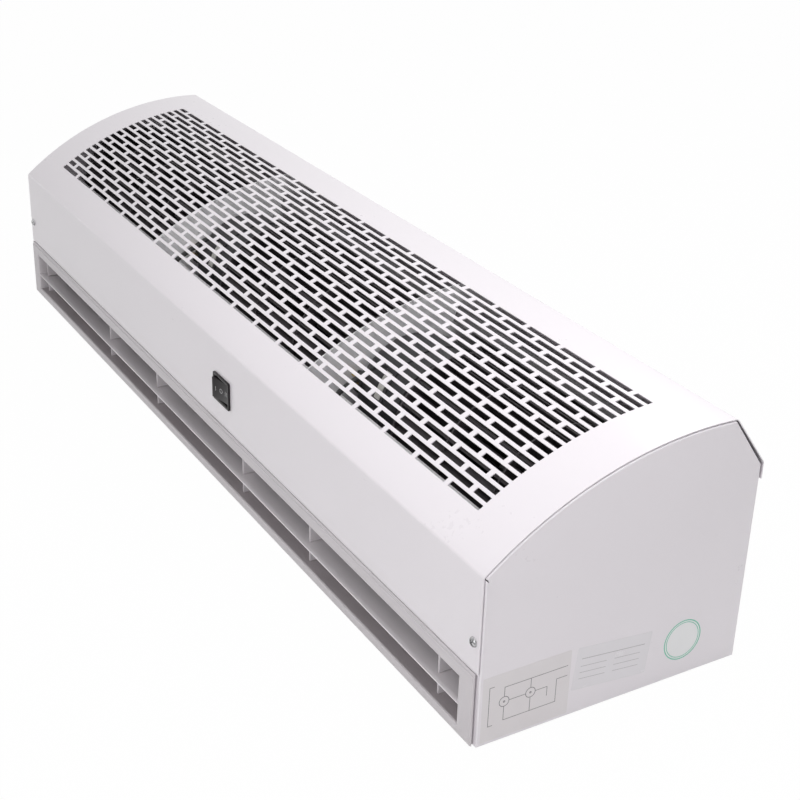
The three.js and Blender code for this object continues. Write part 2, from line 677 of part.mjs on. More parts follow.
// A motor bolts to the right face of its partition. The left one has a shaft at both ends.
function makeMotor(number, side, through) {
  const x0 = side * PARTITION_X + SHEET / 2 + GAP;
  const x1 = x0 + MOTOR_LENGTH;
  const bore = SHAFT_RADIUS + RUNNING_GAP;
  const bell = MOTOR_RADIUS - MOTOR_BELL;
  const leftBoss = [
    [bore, x0 - BOSS_LENGTH],
    [BOSS_RADIUS, x0 - BOSS_LENGTH],
    [BOSS_RADIUS, x0],
  ];
  const start = through ? leftBoss : [[0, x0]];
  const end = through ? [[bore, x0 - BOSS_LENGTH]] : [[bore, x0 + MOTOR_BELL], [0, x0 + MOTOR_BELL]];
  const profile = [
    ...start,
    [bell, x0],
    [MOTOR_RADIUS, x0 + MOTOR_BELL],
    [MOTOR_RADIUS, x1 - MOTOR_BELL],
    [bell, x1],
    [BOSS_RADIUS, x1],
    [BOSS_RADIUS, x1 + BOSS_LENGTH],
    [bore, x1 + BOSS_LENGTH],
    ...end,
  ];
  const sockets = MOTOR_SCREW_ANGLES.map((angle) => {
    const [y, z] = polar(MOTOR_SCREW_CIRCLE, angle);
    return rod(SCREW.shank + GAP, x0 - GAP, x0 + MOTOR_SCREW_LENGTH, y, z, SIDES.hole);
  });
  const casing = turnedX(profile, AXIS_Y, AXIS_HEIGHT, SIDES.motor);
  piece(`motor_${number}_casing`, cut(casing, ...sockets), MOTOR_STEEL);
  const reach = BOSS_LENGTH + END_CLEAR + HUB_LENGTH - SHAFT_SHORT;
  const left = through ? x0 - reach : x0 + MOTOR_BELL + SHAFT_SHORT;
  const right = x1 + reach;
  const shaft = rod(SHAFT_RADIUS, left, right, AXIS_Y, AXIS_HEIGHT, SIDES.shaft);
  piece(`motor_${number}_shaft`, shaft, STEEL);
  MOTOR_SCREW_ANGLES.forEach((angle, i) => {
    const [y, z] = polar(MOTOR_SCREW_CIRCLE, angle);
    const head = side * PARTITION_X - SHEET / 2;
    piece(`motor_${number}_screw_${i + 1}`, screwX(head, MOTOR_SCREW_LENGTH, y, z), STEEL);
  });
}

// A pan-head screw, with its head's seat at the origin and its shank along +Y.
function screw(length) {
  const { head, rise, rim, crown, shank } = SCREW;
  const profile = [
    [0, -rise],
    [crown, -rise],
    [head, -rim],
    [head, 0],
    [shank, 0],
    [shank, length],
    [0, length],
  ];
  return turned(profile, SIDES.screw);
}

function screwX(x, length, y, z) {
  return screw(length).rotateZ(-Math.PI / 2).translate(x, y, z);
}

// One impeller: end discs and curved blades. The driven end has a wide bore for its hub.
function makeImpeller(number, x0, x1, drivenLeft) {
  const radius = IMPELLER_RADIUS;
  const section = (turn) => {
    const tip = radius - BLADE_INSIDE_DISC;
    const centre = BLADE_RAKE.map((rake, i) => polar(tip - (i * BLADE_CHORD) / 2, turn + rake));
    return bent(centre, BLADE_SHEET);
  };
  const inset = DISC_SHEET / 2;
  const turns = steps(0, 360, 360 / BLADE_COUNT).slice(0, -1);
  const blades = turns.map((turn) => prism(section(turn), x0 + inset, x1 - inset));
  const disc = (bore, left) => {
    const profile = [
      [bore, left],
      [radius, left],
      [radius, left + DISC_SHEET],
      [bore, left + DISC_SHEET],
      [bore, left],
    ];
    return turnedX(profile, AXIS_Y, AXIS_HEIGHT, SIDES.disc);
  };
  const bores = [HUB_RADIUS + GAP, SHAFT_RADIUS + GAP];
  const [leftBore, rightBore] = drivenLeft ? bores : bores.reverse();
  const discs = [disc(leftBore, x0), disc(rightBore, x1 - DISC_SHEET)];
  piece(`impeller_${number}`, join(many(blades), many(discs)), BLACK_PLASTIC);

  const inward = drivenLeft ? 1 : -1;
  const hubStart = drivenLeft ? x0 : x1;
  const hubEnds = [hubStart, hubStart + inward * HUB_LENGTH].sort((a, b) => a - b);
  const hub = collar(HUB_RADIUS, SHAFT_RADIUS + GAP, ...hubEnds, SIDES.motor);
  piece(`impeller_${number}_hub`, hub, RUBBER);

  const pinEnd = drivenLeft ? x1 : x0;
  const pinOuter = pinEnd + inward * (END_CLEAR + SEAT_LENGTH - PIN_SHORT);
  const pinEnds = [pinEnd - inward * (DISC_SHEET + PIN_TAIL), pinOuter].sort((a, b) => a - b);
  const pin = rod(SHAFT_RADIUS, ...pinEnds, AXIS_Y, AXIS_HEIGHT, SIDES.shaft);
  piece(`impeller_${number}_pin`, pin, STEEL);
}

function collar(outer, bore, x0, x1, sides) {
  const profile = [
    [bore, x0],
    [outer, x0],
    [outer, x1],
    [bore, x1],
    [bore, x0],
  ];
  return turnedX(profile, AXIS_Y, AXIS_HEIGHT, sides);
}

// A bearing: a flanged rubber-lined seat on a plate, and a sintered bush in it.
function makeBearing(place, x, direction) {
  const bore = BUSH_RADIUS + GAP;
  const at = (distance) => x + direction * distance;
  const profile = [
    [bore, at(0)],
    [SEAT_RADIUS, at(0)],
    [SEAT_RADIUS, at(SEAT_FLANGE)],
    [SEAT_HUB_RADIUS, at(SEAT_FLANGE)],
    [SEAT_HUB_RADIUS, at(SEAT_LENGTH)],
    [bore, at(SEAT_LENGTH)],
    [bore, at(0)],
  ];
  if (direction < 0) {
    profile.reverse();
  }
  piece(`bearing_seat_${place}`, turnedX(profile, AXIS_Y, AXIS_HEIGHT, SIDES.bearing), RUBBER);
  const ends = [at(0), at(SEAT_LENGTH)].sort((a, b) => a - b);
  const bush = collar(BUSH_RADIUS, SHAFT_RADIUS + GAP, ...ends, SIDES.bearing);
  piece(`bearing_bush_${place}`, bush, BRONZE);
}

function makeDrive() {
  makeMotor(1, -1, true);
  makeMotor(2, 1, false);
  const leftSeat = -DUCT_X;
  const midSeat = PARTITION_X - SHEET / 2 - GAP;
  const rightSeat = DUCT_X;
  makeBearing("left", leftSeat, 1);
  makeBearing("middle", midSeat, -1);
  makeBearing("right", rightSeat, -1);
  const fromSeat = SEAT_LENGTH + END_CLEAR;
  const fromMotor = BOSS_LENGTH + END_CLEAR;
  const motorFace = (side) => side * PARTITION_X + SHEET / 2 + GAP;
  const afterMotor = MOTOR_LENGTH + fromMotor;
  makeImpeller(1, leftSeat + fromSeat, motorFace(-1) - fromMotor, false);
  makeImpeller(2, motorFace(-1) + afterMotor, midSeat - fromSeat, true);
  makeImpeller(3, motorFace(1) + afterMotor, rightSeat - fromSeat, true);
}

function makeSwitch() {
  const z = SWITCH_HEIGHT;
  const x = SWITCH_X;
  const block = ({ across, tall }, y0, y1) => {
    const geometry = new THREE.BoxGeometry(across, y1 - y0, tall);
    return geometry.translate(x, (y0 + y1) / 2, z);
  };
  const front = PANEL_Y - BEZEL.thick;
  const bezel = block(BEZEL, front, PANEL_Y);
  const body = block(SWITCH_BODY, front + SWITCH_BODY.wall, PANEL_Y + SWITCH_BODY.deep);
  const pocket = block(POCKET, front - SWITCH_BODY.wall, PANEL_Y + POCKET.deep);
  piece("switch_body", cut(join(bezel, body), pocket), GLOSS_BLACK);

  // The rocker rests with its left tip out, tilted about its pivot.
  const reach = POCKET.across / 2 - ROCKER.end;
  const corner = reach - ROCKER.edge / 4;
  const tilt = THREE.MathUtils.degToRad(ROCKER.tilt);
  const tip = (SWITCH_PROUD + ROCKER.pivot - corner * Math.sin(tilt)) / Math.cos(tilt);
  const half = [
    [ROCKER.hollow - tip, ROCKER.waist],
    [-tip, corner],
    [ROCKER.edge - tip, reach],
    [0, reach - ROCKER.end],
    [POCKET.deep - ROCKER.clear - ROCKER.pivot, ROCKER.belly],
  ];
  const outline = [...half, ...half.map(([y, run]) => [y, -run]).reverse()];
  const halfTall = POCKET.tall / 2 - ROCKER.side;
  const rocker = prism(outline, -halfTall, halfTall).rotateX(-tilt).rotateY(Math.PI / 2);
  piece("switch_rocker", rocker.translate(x, PANEL_Y + ROCKER.pivot, z), GLOSS_BLACK);

  const back = PANEL_Y + SWITCH_BODY.deep;
  [1, 0, -1].forEach((row, i) => {
    const tab = new THREE.BoxGeometry(TAB.thick, TAB.deep, TAB.across);
    const middle = x + row * TAB.spacing;
    piece(`switch_tab_${i + 1}`, tab.translate(middle, back + TAB.deep / 2, z), BRASS);
  });
}

function hungBlock(x, size) {
  const y0 = PANEL_Y + BLOCK_BACK;
  const top = SHELF_HEIGHT - DUCT_SHEET - GAP;
  return box(x - size.across / 2, x + size.across / 2, y0, y0 + size.deep, top - size.tall, top);
}

// A lead along a smooth curve through its points.
function lead(points, radius, stepCount) {
  const curve = new THREE.CatmullRomCurve3(points.map((point) => new THREE.Vector3(...point)));
  const corners = Array.from({ length: SIDES.lead }, (_, i) => {
    const angle = (i * 2 * Math.PI) / SIDES.lead;
    return new THREE.Vector2(radius * Math.cos(angle), radius * Math.sin(angle));
  });
  const shape = new THREE.Shape(corners);
  return new THREE.ExtrudeGeometry(shape, { extrudePath: curve, steps: stepCount, bevelEnabled: false });
}

// A grommet for the guide's shelf, about the Y axis.
function grommet() {
  const { bore, rim } = GROMMET;
  const groove = DUCT_SHEET / 2 + GAP;
  const lip = groove + GROMMET.lip;
  const waist = SLEEVE_HOLE - GAP;
  const outer = SLEEVE_HOLE + rim;
  const profile = [
    [bore, -lip],
    [outer, -lip],
    [outer, -groove],
    [waist, -groove],
    [waist, groove],
    [outer, groove],
    [outer, lip],
    [bore, lip],
    [bore, -lip],
  ];
  return turned(profile, SIDES.hole);
}

// The cable entry's grommet, closed by a thin skin until a cable is led through.
function blankGrommet() {
  const { hole, skin, lip, wall } = ENTRY;
  const groove = SHEET / 2 + GAP;
  const outer = hole + GROMMET.rim;
  const half = [
    [hole - GAP, groove],
    [outer, groove],
    [outer, groove + lip],
    [hole - wall, groove + lip],
    [hole - wall, skin / 2],
    [0, skin / 2],
  ];
  const profile = [...half.map(([r, y]) => [r, -y]).reverse(), ...half];
  return turned(profile, SIDES.hole);
}

function makeWiring() {
  piece("terminal_block", hungBlock(TERMINAL_BLOCK.x, TERMINAL_BLOCK), WHITE_PLASTIC);
  const tall = CAPACITOR.share * (SHELF_HEIGHT - DUCT_TOP);
  CAPACITOR_PLACES.forEach((x, i) => {
    piece(`capacitor_${i + 1}`, hungBlock(x, { ...CAPACITOR, tall }), WHITE_PLASTIC);
  });
  const blockY = PANEL_Y + BLOCK_BACK + TERMINAL_BLOCK.deep / 2;
  const blockZ = SHELF_HEIGHT - DUCT_SHEET - GAP - TERMINAL_BLOCK.tall / 2;
  const blockRight = TERMINAL_BLOCK.x + TERMINAL_BLOCK.across / 2 + GAP;
  const blockLeft = TERMINAL_BLOCK.x - TERMINAL_BLOCK.across / 2 - GAP;
  const tabY = PANEL_Y + SWITCH_BODY.deep + TAB.deep + GAP;
  [1, -1].forEach((row, i) => {
    const { fromTab, bow, toBlock, spread, inset } = SWITCH_LEAD;
    const tabX = SWITCH_X + row * TAB.spacing;
    const y = blockY - inset;
    const z = blockZ - inset + row * spread;
    const points = [
      ...fromTab.map((off) => [tabX + off[0], tabY + off[1], SWITCH_HEIGHT + off[2]]),
      [tabX + bow[0], tabY + bow[1], (SWITCH_HEIGHT + blockZ) / 2 + row * spread],
      ...toBlock.map((off) => [blockRight + off[0], y + off[1], z + off[2]]),
    ];
    const wire = lead(points, LEAD_RADIUS, LEAD_STEPS.switch);
    piece(`switch_lead_${i + 1}`, wire, BLUE_LEAD);
  });
  [-1, 1].forEach((side, i) => {
    const { fromBlock, alongShelf, under, toHole, arch, straight } = MOTOR_LEAD;
    const x = motorLeadX(side);
    const y = leadHoleY();
    const start = side < 0 ? blockLeft : blockRight;
    const toward = Math.sign(x - start);
    const run = SHELF_HEIGHT - under;
    const entry = polar(MOTOR_RADIUS + GAP, MOTOR_LEAD.entry);
    const points = [
      ...fromBlock.map((off) => [start + toward * off[0], blockY + off[1], run]),
      [start + toward * alongShelf.turn, y + alongShelf.rows[0], run],
      [(start + x) / 2, y + alongShelf.rows[1], run],
      ...toHole.map((off) => [x - toward * off[0], y + off[1], SHELF_HEIGHT + off[2]]),
      [x, (y + entry[0]) / 2, SHELF_HEIGHT + arch],
      [x, entry[0] - straight, entry[1] + straight],
      [x, ...entry],
    ];
    const sleeve = lead(points, SLEEVE_RADIUS, LEAD_STEPS.motor);
    piece(`motor_lead_${i + 1}`, sleeve, BLACK_PLASTIC);
    const ring = grommet().rotateX(Math.PI / 2);
    piece(
      `lead_grommet_${i + 1}`,
      ring.translate(x, leadHoleY(), SHELF_HEIGHT - DUCT_SHEET / 2),
      RUBBER,
    );
  });
  const plug = blankGrommet().translate(ENTRY.x, WALL_Y - SHEET / 2, ENTRY.height);
  piece("entry_grommet", plug, RUBBER);
}

function makeScrews() {
  for (const [name, side] of [["left", -1], ["right", 1]]) {
    const pan = screw(COVER_SCREW.length).translate(side * coverScrewX(), PANEL_Y, COVER_SCREW.height);
    piece(`cover_screw_${name}`, pan, STEEL);
    BASE_SCREW_PLACES.forEach((back, i) => {
      const seat = INSET + SHEET;
      const down = screw(seat - GAP / 2).rotateX(-Math.PI / 2);
      piece(
        `base_screw_${name}_${i + 1}`,
        down.translate(side * baseScrewX(), PANEL_Y + back, seat),
        STEEL,
      );
    });
  }
}

makeCover();
makeEndPlate("end_plate_left", -1);
makeEndPlate("end_plate_right", 1);
makeBase();
makeLouvre();
makeFins();
makeDucts();
makePartition("partition_left", -1);
makePartition("partition_right", 1);
makeDrive();
makeSwitch();
makeWiring();
makeScrews();

export default model;
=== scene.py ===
"""Air curtain: a white sheet-metal cabinet with a slotted intake, crossflow impellers and a louvre."""

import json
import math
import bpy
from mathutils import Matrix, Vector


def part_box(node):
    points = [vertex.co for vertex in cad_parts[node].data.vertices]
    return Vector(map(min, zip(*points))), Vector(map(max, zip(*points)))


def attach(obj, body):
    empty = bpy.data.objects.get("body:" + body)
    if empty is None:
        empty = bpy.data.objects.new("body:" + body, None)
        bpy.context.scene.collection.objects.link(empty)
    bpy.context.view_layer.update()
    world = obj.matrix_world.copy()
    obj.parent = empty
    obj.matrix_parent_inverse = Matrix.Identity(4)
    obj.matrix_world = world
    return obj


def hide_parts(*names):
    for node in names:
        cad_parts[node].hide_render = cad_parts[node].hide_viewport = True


bl_info = {
    "name": "Air Curtain",
    "version": (1, 0, 0),
    "blender": (4, 5, 0),
    "location": "View3D > Sidebar > Air Curtain",
    "description": "Builds an air curtain's visible pieces and finishes over its packed frame",
    "category": "Object",
}

import bmesh
import bpy
from mathutils import Matrix, Vector

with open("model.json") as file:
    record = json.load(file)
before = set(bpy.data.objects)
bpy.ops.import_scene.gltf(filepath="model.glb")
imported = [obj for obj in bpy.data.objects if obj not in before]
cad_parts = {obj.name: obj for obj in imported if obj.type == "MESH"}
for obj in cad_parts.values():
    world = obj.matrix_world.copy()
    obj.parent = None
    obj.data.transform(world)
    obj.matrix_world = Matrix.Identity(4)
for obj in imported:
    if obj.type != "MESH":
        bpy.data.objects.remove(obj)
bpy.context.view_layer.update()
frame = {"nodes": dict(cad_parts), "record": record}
NODES = frame["nodes"]

MM = 0.001
X_AXIS = Vector((1, 0, 0))
MERGE = 1e-6  # distance under which two vertices are one
NODE_MERGE = 1e-5  # the same for a copy of a node's loose triangles

# Cabinet section
END_X = 0.44985  # outer face of an end plate, under its label films
COVER_X = 0.4491  # end of the cover's sheet
PANEL_Y = -0.111
REAR_Y = 0.1155
CREASE_Z = 0.134
LOUVRE_TOP = 0.0598
SHEET = 0.0012
COVER_SHEET = 0.0007
INSET = 0.0015  # of the end plate's edge within the cover
FILM = 0.00006
SLIT_HALF = Vector((0.03, 0.0032, 0.0004))  # half the relief cut at the end plate's front corner
ARCH_RADIUS = 0.282
ARCH_RUN = 0.197
ARCH_TOP = 0.2
SHOULDER_Z = 0.160
SHOULDER_SLOT = 0.0016  # between the shoulder and the end plate's slope
REAR_LIP = 0.013
FLANGE = 0.012
ARCH_CENTRE_Z = ARCH_TOP - ARCH_RADIUS
ARCH_CENTRE_Y = PANEL_Y + math.sqrt(ARCH_RADIUS**2 - (CREASE_Z - ARCH_CENTRE_Z) ** 2)
ARCH_CENTRE = Vector((0, ARCH_CENTRE_Y, ARCH_CENTRE_Z))
CREASE_ANGLE = math.atan2(CREASE_Z - ARCH_CENTRE_Z, PANEL_Y - ARCH_CENTRE_Y)
SHOULDER_ANGLE = math.acos((PANEL_Y + ARCH_RUN - ARCH_CENTRE_Y) / ARCH_RADIUS)
ARCH_LENGTH = ARCH_RADIUS * (CREASE_ANGLE - SHOULDER_ANGLE)
FRONT_STEPS = 4  # of the plain arch before the slots
REAR_STEPS = 5  # of the plain arch behind them

# Intake slots
ROWS = 20
COLUMNS = 19
ROW_PITCH = 0.0075
SLOT_WIDTH = 0.0047
SLOT_PITCH = 0.0427
SLOT_BRIDGE = 0.0049
GRILLE_FRONT = 0.029
SLOT_LENGTH = SLOT_PITCH - SLOT_BRIDGE
HALF_SLOT = (SLOT_LENGTH - SLOT_BRIDGE) / 2  # each of the two short slots beside a staggered bridge
SLOT_START = -(COLUMNS * SLOT_PITCH - SLOT_BRIDGE) / 2

# Outlet
LOUVRE_X = 0.4468
LOUVRE_WALL = 0.0015
OPENING_X = 0.4298
OPENING_FOOT = 0.009
OPENING_TOP = 0.048
LOUVRE_FRONT = -0.1128
LOUVRE_FOOT = 0.0015
LOUVRE_HEAD = 0.0595
# The back of the sheet of painted shade on the duct's floor.
PAINTED_SHADE_BACK = -0.086
FINS = 6

# Blower
AXIS = Vector((0, 0.006, 0.116))
IMPELLER_RADIUS = 0.06
BLADE_ROOT = 0.047
END_DISC = 0.0025
HUB_BORE = 0.0173
PIN_BORE = 0.0043
BLADE_TURN = 1.15  # radians of arc in one blade's section
# An impeller is its number, its body and whether its motor is on its left.
IMPELLERS = ((1, "left_rotor", False), (2, "left_rotor", True), (3, "right_rotor", True))
# A motor is its number, its left and right face and whether its shaft comes out of both.
MOTORS = ((1, -0.1561, -0.0941, True), (2, 0.1579, 0.2199, False))
MOTOR_RADIUS = 0.052
MOTOR_BORE = 0.0044
MOTOR_BOSS = 0.016
MOTOR_BOSS_LENGTH = 0.008
MOTOR_FACE = 0.040
# Vents round a bell, each drawn as a dark slab of painted shade.
VENTS = 8
TERMINAL_ANGLE = 160  # degrees round a motor's axis, from its rear side over the top
STRAP_ANGLES = (137, 162)

# Switch
SWITCH = Vector((0.054, PANEL_Y, 0.0929))  # the middle of the bezel, on the panel
SWITCH_HALF = Vector((0.0155, 0, 0.0125))
SWITCH_PROUD = 0.0018
WINDOW_HALF = Vector((0.0143, 0, 0.0111))  # half the cover's window round the switch
ROCKER_PIVOT = SWITCH + Vector((0, 0.001, 0))
ROCKER_TILT = math.radians(10)
ROCKER_TIP = PANEL_Y - 0.00242
ROCKER_DIP = PANEL_Y - 0.0015
ROCKER_REACH = 0.0122
ROCKER_HALF = 0.0092

# Screws: (radius, place along the screw) in millimetres, from the crown to the point
SCREW_PROFILE = (
    (0, 2.2), (1.4, 2.12), (2.5, 1.8), (3.3, 1.2), (3.65, 0.5), (3.7, 0.0), (2.0, 0.0), (2.0, -8.5),
    (0, -9.5),
)
SCREW_X = 0.442
SCREW_Z = 0.082

# Label films: places are (y, z) on the right end plate
DIAGRAM_FILM = ((-0.107, 0.004), (-0.0365, 0.056))
DIAGRAM_MOTORS = ((-0.0895, 0.0325), (-0.0685, 0.0325))
DIAGRAM_LINES = (
    ((-0.1015, 0.016), (-0.1015, 0.047)), ((-0.1015, 0.047), (-0.098, 0.047)),
    ((-0.1015, 0.016), (-0.098, 0.016)), ((-0.0895, 0.0366), (-0.0895, 0.044)),
    ((-0.0895, 0.044), (-0.039, 0.044)), ((-0.0685, 0.0366), (-0.0685, 0.044)),
    ((-0.0895, 0.0284), (-0.0895, 0.0175)), ((-0.0895, 0.0175), (-0.0475, 0.0175)),
    ((-0.0685, 0.0284), (-0.0685, 0.0175)), ((-0.0475, 0.0175), (-0.0475, 0.036)),
    ((-0.0475, 0.036), (-0.039, 0.036)), ((-0.0854, 0.0325), (-0.0726, 0.0325)),
    ((-0.0644, 0.0325), (-0.055, 0.0325)), ((-0.055, 0.0325), (-0.055, 0.025)),
)
FORM_FILM = ((-0.033, 0.018), (0.031, 0.052))
FORM_CENTRE = Vector((0, -0.001, 0.035))
FORM_TURN = math.radians(-6)  # the form sits a little askew
FORM_HEAD = ((-0.028, 0.0425), (0.026, 0.0425))
FORM_ROWS = (0.0365, 0.0315, 0.0265)
FORM_COLUMNS = ((-0.028, -0.006), (0.001, 0.023))
ROUND_FILM = (0.061, 0.032)
ROUND_FILM_RADIUS = 0.0165
FILM_TOP = END_X + FILM
INK_LOW = FILM_TOP - 0.00002
INK_HIGH = FILM_TOP + 0.00003

# Camera, lamps and floor. A lamp is its name, its place, what it faces and its size.
LAMPS = (
    ("key", (0.42, 0.0, 1.0), (0.2, 0.0, 0.15), (0.5, 0.5)),
    ("top", (-0.15, 0.9, 1.2), (-0.05, 0.05, 0.15), (1.2, 0.6)),
    ("front", (1.0, -1.3, 0.7), (0.1, -0.1, 0.1), (0.9, 0.9)),
    ("end", (2.4, 0.3, 0.9), (0.4, 0.0, 0.1), (1.2, 1.2)),
    ("strip", (-1.5, -1.25, 0.16), (0.0, -0.1, 0.134), (1.5, 0.06)),
)
CAMERA_LENS = 68.53
CAMERA_PLACE = (1.10698, -0.57147, 0.64884)
CAMERA_TURN = (63.84591, -1.6008, 59.76765)
FLOOR_HALF = 6.0
FLOOR_Z = -0.0004
FLOOR_GLOW = 0.985  # the floor's share of plain white; the rest keeps the shadow


# ---------------------------------------------------------------- materials


def node(tree, kind, **values):
    made = tree.nodes.new(kind)
    for name, value in values.items():
        if name in made.inputs:
            made.inputs[name].default_value = value
        else:
            setattr(made, name, value)
    return made


def effect_group(name, numbers, outputs):
    """An empty shader node group with named number inputs and named outputs."""
    group = bpy.data.node_groups.new(name, "ShaderNodeTree")
    for label, default in numbers.items():
        socket = group.interface.new_socket(label, in_out="INPUT", socket_type="NodeSocketFloat")
        socket.default_value = default
    for label, kind in outputs.items():
        group.interface.new_socket(label, in_out="OUTPUT", socket_type=kind)
    ends = group.nodes.new("NodeGroupInput"), group.nodes.new("NodeGroupOutput")
    return group, *ends


def make_relief_group():
    """Fine surface relief, such as orange peel in paint or the grain of a mould."""
    numbers = {"Scale": 300.0, "Height": 0.00002}
    outputs = {"Normal": "NodeSocketVector", "Mask": "NodeSocketFloat"}
    group, start, end = effect_group("Fine Relief", numbers, outputs)
    place = node(group, "ShaderNodeTexCoord")
    noise = node(group, "ShaderNodeTexNoise", Detail=3.0, Roughness=0.55)
    bump = node(group, "ShaderNodeBump", Strength=1.0)
    group.links.new(place.outputs["Object"], noise.inputs["Vector"])
    group.links.new(start.outputs["Scale"], noise.inputs["Scale"])
    group.links.new(start.outputs["Height"], bump.inputs["Distance"])
    group.links.new(noise.outputs["Fac"], bump.inputs["Height"])
    group.links.new(bump.outputs["Normal"], end.inputs["Normal"])
    group.links.new(noise.outputs["Fac"], end.inputs["Mask"])
    return group


def make_cloud_group():
    """Slow, soft changes over a surface: handling marks, dust and uneven sheen."""
    numbers = {"Scale": 12.0, "Low": 0.35, "High": 0.7}
    group, start, end = effect_group("Soft Clouds", numbers, {"Mask": "NodeSocketFloat"})
    place = node(group, "ShaderNodeTexCoord")
    noise = node(group, "ShaderNodeTexNoise", Detail=4.0, Roughness=0.6, Distortion=0.4)
    span = node(group, "ShaderNodeMapRange")
    group.links.new(place.outputs["Object"], noise.inputs["Vector"])
    group.links.new(start.outputs["Scale"], noise.inputs["Scale"])
    group.links.new(noise.outputs["Fac"], span.inputs["Value"])
    group.links.new(start.outputs["Low"], span.inputs["From Min"])
    group.links.new(start.outputs["High"], span.inputs["From Max"])
    group.links.new(span.outputs["Result"], end.inputs["Mask"])
    return group


def make_spangle_group():
    """The crystals that a zinc coating shows, each with its own brightness."""
    outputs = {"Mask": "NodeSocketFloat", "Normal": "NodeSocketVector"}
    group, start, end = effect_group("Zinc Spangle", {"Scale": 140.0}, outputs)
    place = node(group, "ShaderNodeTexCoord")
    cells = node(group, "ShaderNodeTexVoronoi", Randomness=1.0)
    value = node(group, "ShaderNodeSeparateColor")
    bump = node(group, "ShaderNodeBump", Strength=1.0, Distance=0.00002)
    group.links.new(place.outputs["Object"], cells.inputs["Vector"])
    group.links.new(start.outputs["Scale"], cells.inputs["Scale"])
    group.links.new(cells.outputs["Color"], value.inputs["Color"])
    group.links.new(value.outputs["Red"], end.inputs["Mask"])
    group.links.new(value.outputs["Green"], bump.inputs["Height"])
    group.links.new(bump.outputs["Normal"], end.inputs["Normal"])
    return group


def make_brush_group():
    """Fine turning or drawing marks, drawn out along one axis by the stretch."""
    numbers = {"Along": 20.0, "Across": 900.0, "Height": 0.00001}
    outputs = {"Mask": "NodeSocketFloat", "Normal": "NodeSocketVector"}
    group, start, end = effect_group("Drawn Marks", numbers, outputs)
    place = node(group, "ShaderNodeTexCoord")
    stretch = node(group, "ShaderNodeCombineXYZ")
    mapping = node(group, "ShaderNodeMapping")
    noise = node(group, "ShaderNodeTexNoise", Scale=1.0, Detail=2.0)
    bump = node(group, "ShaderNodeBump", Strength=1.0)
    group.links.new(start.outputs["Along"], stretch.inputs["X"])
    group.links.new(start.outputs["Across"], stretch.inputs["Y"])
    group.links.new(start.outputs["Across"], stretch.inputs["Z"])
    group.links.new(stretch.outputs["Vector"], mapping.inputs["Scale"])
    group.links.new(place.outputs["Object"], mapping.inputs["Vector"])
    group.links.new(mapping.outputs["Vector"], noise.inputs["Vector"])
    group.links.new(start.outputs["Height"], bump.inputs["Distance"])
    group.links.new(noise.outputs["Fac"], bump.inputs["Height"])
    group.links.new(noise.outputs["Fac"], end.inputs["Mask"])
    group.links.new(bump.outputs["Normal"], end.inputs["Normal"])
    return group


def finish(name, light, dark, rough, clouds, relief, **shader):
    """A material whose colour and roughness follow soft clouds, with one relief group on its surface.

    rough is (smoothest, roughest), clouds the cloud group's numbers and relief (group name, numbers).
    """
    material = bpy.data.materials.new(name)
    material.use_nodes = True
    tree = material.node_tree
    tree.nodes.clear()
    out = node(tree, "ShaderNodeOutputMaterial")
    surface = node(tree, "ShaderNodeBsdfPrincipled", **shader)
    cloud = node(tree, "ShaderNodeGroup", node_tree=bpy.data.node_groups["Soft Clouds"])
    for label, value in clouds.items():
        cloud.inputs[label].default_value = value
    kind, numbers = relief
    skin = node(tree, "ShaderNodeGroup", node_tree=bpy.data.node_groups[kind])
    for label, value in numbers.items():
        skin.inputs[label].default_value = value
    mix = node(tree, "ShaderNodeMix", data_type="RGBA")
    mix.inputs["A"].default_value = (*light, 1)
    mix.inputs["B"].default_value = (*dark, 1)
    gloss = node(tree, "ShaderNodeMapRange")
    gloss.inputs["To Min"].default_value, gloss.inputs["To Max"].default_value = rough
    blend = node(tree, "ShaderNodeMath", operation="MULTIPLY_ADD")
    blend.inputs[1].default_value = 0.5
    half = node(tree, "ShaderNodeMath", operation="MULTIPLY")
    half.inputs[1].default_value = 0.5
    tree.links.new(cloud.outputs["Mask"], blend.inputs[0])
    tree.links.new(skin.outputs["Mask"], half.inputs[0])
    tree.links.new(half.outputs["Value"], blend.inputs[2])
    tree.links.new(blend.outputs["Value"], mix.inputs["Factor"])
    tree.links.new(blend.outputs["Value"], gloss.inputs["Value"])
    tree.links.new(mix.outputs["Result"], surface.inputs["Base Color"])
    tree.links.new(gloss.outputs["Result"], surface.inputs["Roughness"])
    tree.links.new(skin.outputs["Normal"], surface.inputs["Normal"])
    tree.links.new(surface.outputs["BSDF"], out.inputs["Surface"])
    return material


def shade(colour, factor):
    return tuple(channel * factor for channel in colour)


